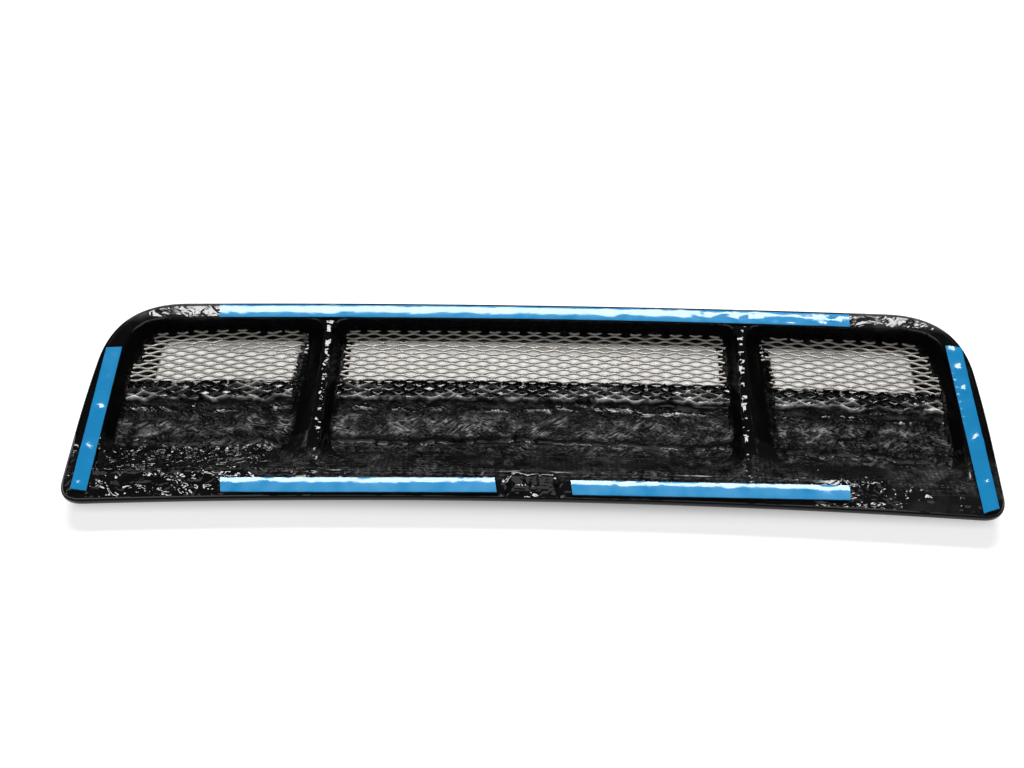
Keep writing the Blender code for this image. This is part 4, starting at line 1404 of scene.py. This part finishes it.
def fibre_rings(plan, x, y, z, heading, curl, reach):
    """Rings of points along a thinning, curling fibre."""
    rings = []
    for step in range(FIBRE_STEPS + 1):
        wide = FIBRE_RADIUS * (1.0 - step / 5.5)
        sideways = Vector((-math.sin(heading), math.cos(heading))) * wide
        ring = []
        for angle in (0.0, 2.0 * math.pi / 3.0, 4.0 * math.pi / 3.0):
            side = sideways * math.cos(angle)
            ring.append((x + side.x, float(plan.world_y(x, y)) + side.y, z + math.sin(angle) * wide))
        rings.append(ring)
        x += math.cos(heading) * reach / FIBRE_STEPS
        y += math.sin(heading) * reach / FIBRE_STEPS
        z += 0.00012
        heading += curl / FIBRE_STEPS
    return rings


def build_fibres():
    """Short black fibres that stick out of the laminate at the inner edges of the outer sheets."""
    scene = bpy.context.scene
    plan = Plan(scene.insert_shell)
    chance = random.Random(9)
    verts, faces = [], []
    for which, sign in (("left", -1.0), ("right", 1.0)):
        _, floor = plan.bay_pair(which)
        inner = floor[(np.abs(floor[:, 0]) < 0.172) & (floor[:, 1] > 0.094) & (floor[:, 1] < 0.138)]
        order = inner[np.argsort(inner[:, 1])]
        for _ in range(scene.insert_mesh.hairs):
            y = chance.uniform(0.095, 0.139)
            x = float(np.interp(y, order[:, 1], order[:, 0])) - sign * chance.uniform(0.0, 0.0015)
            heading = math.atan2(chance.uniform(-1.0, 1.0), sign * chance.uniform(0.4, 1.2))
            curl = chance.uniform(-1.4, 1.4)
            reach = chance.uniform(0.0020, 0.0065)
            z = plan.size.skin + chance.uniform(0.0010, 0.0026)
            add_tube(verts, faces, fibre_rings(plan, x, y, z, heading, curl, reach))
    piece = new_piece("loose_fibres", verts, faces, resin_finish(scene.insert_finish))


# Stage

# The place that both panels face.
LIT_PLACE = (0.0, 0.0, 0.01)


def add_panel(name, place, wide, high, brightness):
    """A soft rectangular panel of an even brightness."""
    lamp = bpy.data.lights.new(name, "AREA")
    lamp.shape = "RECTANGLE"
    lamp.size = wide
    lamp.size_y = high
    lamp.energy = brightness * math.pi * wide * high
    holder = bpy.data.objects.new(name, lamp)
    holder.location = place
    holder.visible_camera = False
    holder.rotation_mode = "QUATERNION"
    holder.rotation_quaternion = (Vector(LIT_PLACE) - holder.location).to_track_quat("-Z", "Y")
    bpy.context.scene.collection.objects.link(holder)


def ray_kinds(start):
    """Whether a ray comes straight from the camera, and whether it comes off gloss or through glass."""
    path = start.node("ShaderNodeLightPath")
    outputs = path.socket.node.outputs
    glossy, through = (Value(start.tree, outputs[name]) for name in ("Is Glossy Ray", "Is Transmission Ray"))
    return path, glossy.at_least(through)


def pale_floor(stage):
    """A pale floor that looks white to the eye and keeps the shadow of what lies on it, with a painted
    shadow: it glows less under the part.
    """
    finish = Finish("pale_floor", Base_Color=(*stage.floor, 1.0), Roughness=0.9, Specular_IOR_Level=0.0)
    finish.shader.inputs["Emission Strength"].default_value = 1.0
    direct, indirect = ray_kinds(finish.place)
    x, y = abs(finish.place.part("X")), abs(finish.place.part("Y"))
    # Painted shadow: under the part the floor adds less glow than round it.
    beside = x.smooth(0.275, 0.300).at_least(y.smooth(0.058, 0.080))
    away = x.at_least(y).smooth(0.6, 1.8)
    glow = away.mix(beside.mix([stage.glow_in_painted_shadow] * 3, [stage.glow] * 3), (1.0, 1.0, 1.0))
    return finish.feed(Emission_Color=direct.at_least(indirect).mix((0.0, 0.0, 0.0), glow))


def build_room(stage):
    """A world that is white to the eye and lights the part at a plain level."""
    world = bpy.data.worlds.new("pale_room")
    world.use_nodes = True
    bpy.context.scene.world = world
    back = world.node_tree.nodes["Background"]
    start = Value(world.node_tree, back.outputs[0])
    direct, indirect = ray_kinds(start)
    horizon = 1.0 - start.node("ShaderNodeTexCoord").part("Z").smooth(0.01, 0.09)
    seen = direct.at_least(indirect * horizon)
    shade = seen.mix([stage.room] * 3, (1.0, 1.0, 1.0))
    world.node_tree.links.new(shade.socket, back.inputs["Color"])
    back.inputs["Strength"].default_value = 1.0


# Plan height of the point that the camera looks at.
AIM_DEPTH = 0.0671


def build_camera(stage, plan):
    """The camera at the viewing angle of the photograph."""
    look = Vector((0.0, AIM_DEPTH + plan.shift, plan.land))
    a, e, r = stage.azimuth, stage.elevation, stage.roll
    forward = Vector((math.sin(a) * math.cos(e), math.cos(a) * math.cos(e), -math.sin(e)))
    level = Vector((math.cos(a), -math.sin(a), 0.0))
    upright = level.cross(forward)
    right = level * math.cos(r) + upright * math.sin(r)
    up = upright * math.cos(r) - level * math.sin(r)
    data = bpy.data.cameras.new("camera")
    data.lens = stage.lens
    data.sensor_width = 36.0
    data.shift_x = stage.shift_x
    data.shift_y = stage.shift_y
    data.clip_end = 50.0
    camera = bpy.data.objects.new("camera", data)
    bpy.context.scene.collection.objects.link(camera)
    camera.rotation_mode = "QUATERNION"
    camera.rotation_quaternion = Matrix((right, up, -forward)).transposed().to_quaternion()
    camera.location = look - forward * stage.distance
    bpy.context.scene.camera = camera


def polar(azimuth, elevation, distance):
    """A place round the part: azimuth 0 lies on the far side, and elevation is above the floor."""
    a, e = math.radians(azimuth), math.radians(elevation)
    return Vector((math.sin(a) * math.cos(e), math.cos(a) * math.cos(e), math.sin(e))) * distance


FLOOR_HALF = 4.0
FLOOR_LEVEL = -0.0006


def build_stage():
    """Floor, room, lights and camera."""
    scene = bpy.context.scene
    stage = scene.insert_stage
    mesh = bpy.data.meshes.new("floor")
    corners = [(x * FLOOR_HALF, y * FLOOR_HALF, FLOOR_LEVEL) for x, y in ((-1, -1), (1, -1), (1, 1), (-1, 1))]
    mesh.from_pydata(corners, [], [(0, 1, 2, 3)])
    mesh.materials.append(pale_floor(stage))
    floor = bpy.data.objects.new("floor", mesh)
    scene.collection.objects.link(floor)
    build_room(stage)
    behind = polar(azimuth=-1.0, elevation=48.6, distance=1.6)
    before = polar(azimuth=180.0, elevation=66.0, distance=2.2)
    add_panel("far_panel", behind, wide=1.45, high=0.30, brightness=stage.panel)
    add_panel("front_fill", before, wide=3.4, high=2.2, brightness=stage.front_fill)
    build_camera(stage, Plan(scene.insert_shell))
    scene.view_settings.view_transform = "Standard"


# Add-on

class INSERT_OT_laminate(bpy.types.Operator):
    """Build the hand-laid laminate"""

    bl_idname = "insert.laminate"
    bl_label = "Laminate"

    def execute(self, context):
        build_laminate()
        return {"FINISHED"}


class INSERT_OT_sheets(bpy.types.Operator):
    """Build the three sheets of expanded metal"""

    bl_idname = "insert.sheets"
    bl_label = "Expanded metal"

    def execute(self, context):
        for which in SIDES:
            build_sheet(which)
        return {"FINISHED"}


class INSERT_OT_resin(bpy.types.Operator):
    """Build the resin that floods the near cells of the sheets"""

    bl_idname = "insert.resin"
    bl_label = "Resin"

    def execute(self, context):
        for which in SIDES:
            build_resin(which)
        return {"FINISHED"}


class INSERT_OT_tape(bpy.types.Operator):
    """Build the release film of every strip and finish the foam under it"""

    bl_idname = "insert.tape"
    bl_label = "Tape"

    def execute(self, context):
        foam = foam_finish(context.scene.insert_finish)
        for name in STRIPS:
            build_film(name)
            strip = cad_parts["foam_tape_" + name]
            strip.data.materials.clear()
            strip.data.materials.append(foam)
        return {"FINISHED"}


class INSERT_OT_fibres(bpy.types.Operator):
    """Build the loose fibres at the inner edges of the outer sheets"""

    bl_idname = "insert.fibres"
    bl_label = "Loose fibres"

    def execute(self, context):
        build_fibres()
        return {"FINISHED"}


class INSERT_OT_stage(bpy.types.Operator):
    """Build the floor, the lights and the camera"""

    bl_idname = "insert.stage"
    bl_label = "Stage"

    def execute(self, context):
        build_stage()
        return {"FINISHED"}


OPERATORS = (
    INSERT_OT_laminate, INSERT_OT_sheets, INSERT_OT_resin, INSERT_OT_tape, INSERT_OT_fibres, INSERT_OT_stage)


class INSERT_PT_panel(bpy.types.Panel):
    """Lists the pieces of the insert"""

    bl_label = "Grille insert"
    bl_idname = "INSERT_PT_panel"
    bl_space_type = "VIEW_3D"
    bl_region_type = "UI"
    bl_category = "Grille insert"

    def draw(self, context):
        for operator in OPERATORS:
            self.layout.operator(operator.bl_idname)
        for name, group in GROUPS.items():
            box = self.layout.box()
            box.label(text=group.__doc__)
            for prop in group.__annotations__:
                box.prop(getattr(context.scene, name), prop)


def register():
    """Add the settings, the operators and the panel."""
    for name, group in GROUPS.items():
        bpy.utils.register_class(group)
        setattr(bpy.types.Scene, name, bpy.props.PointerProperty(type=group))
    for item in (*OPERATORS, INSERT_PT_panel):
        bpy.utils.register_class(item)


def unregister():
    """Take out the panel, the operators and the settings."""
    for item in reversed((*OPERATORS, INSERT_PT_panel)):
        bpy.utils.unregister_class(item)
    for name, group in reversed(GROUPS.items()):
        delattr(bpy.types.Scene, name)
        bpy.utils.unregister_class(group)


def main():
    """Build every piece and the stage."""
    register()
    bpy.ops.insert.laminate()
    bpy.ops.insert.sheets()
    bpy.ops.insert.resin()
    bpy.ops.insert.tape()
    bpy.ops.insert.fibres()
    bpy.ops.insert.stage()


if __name__ == "__main__":
    main()
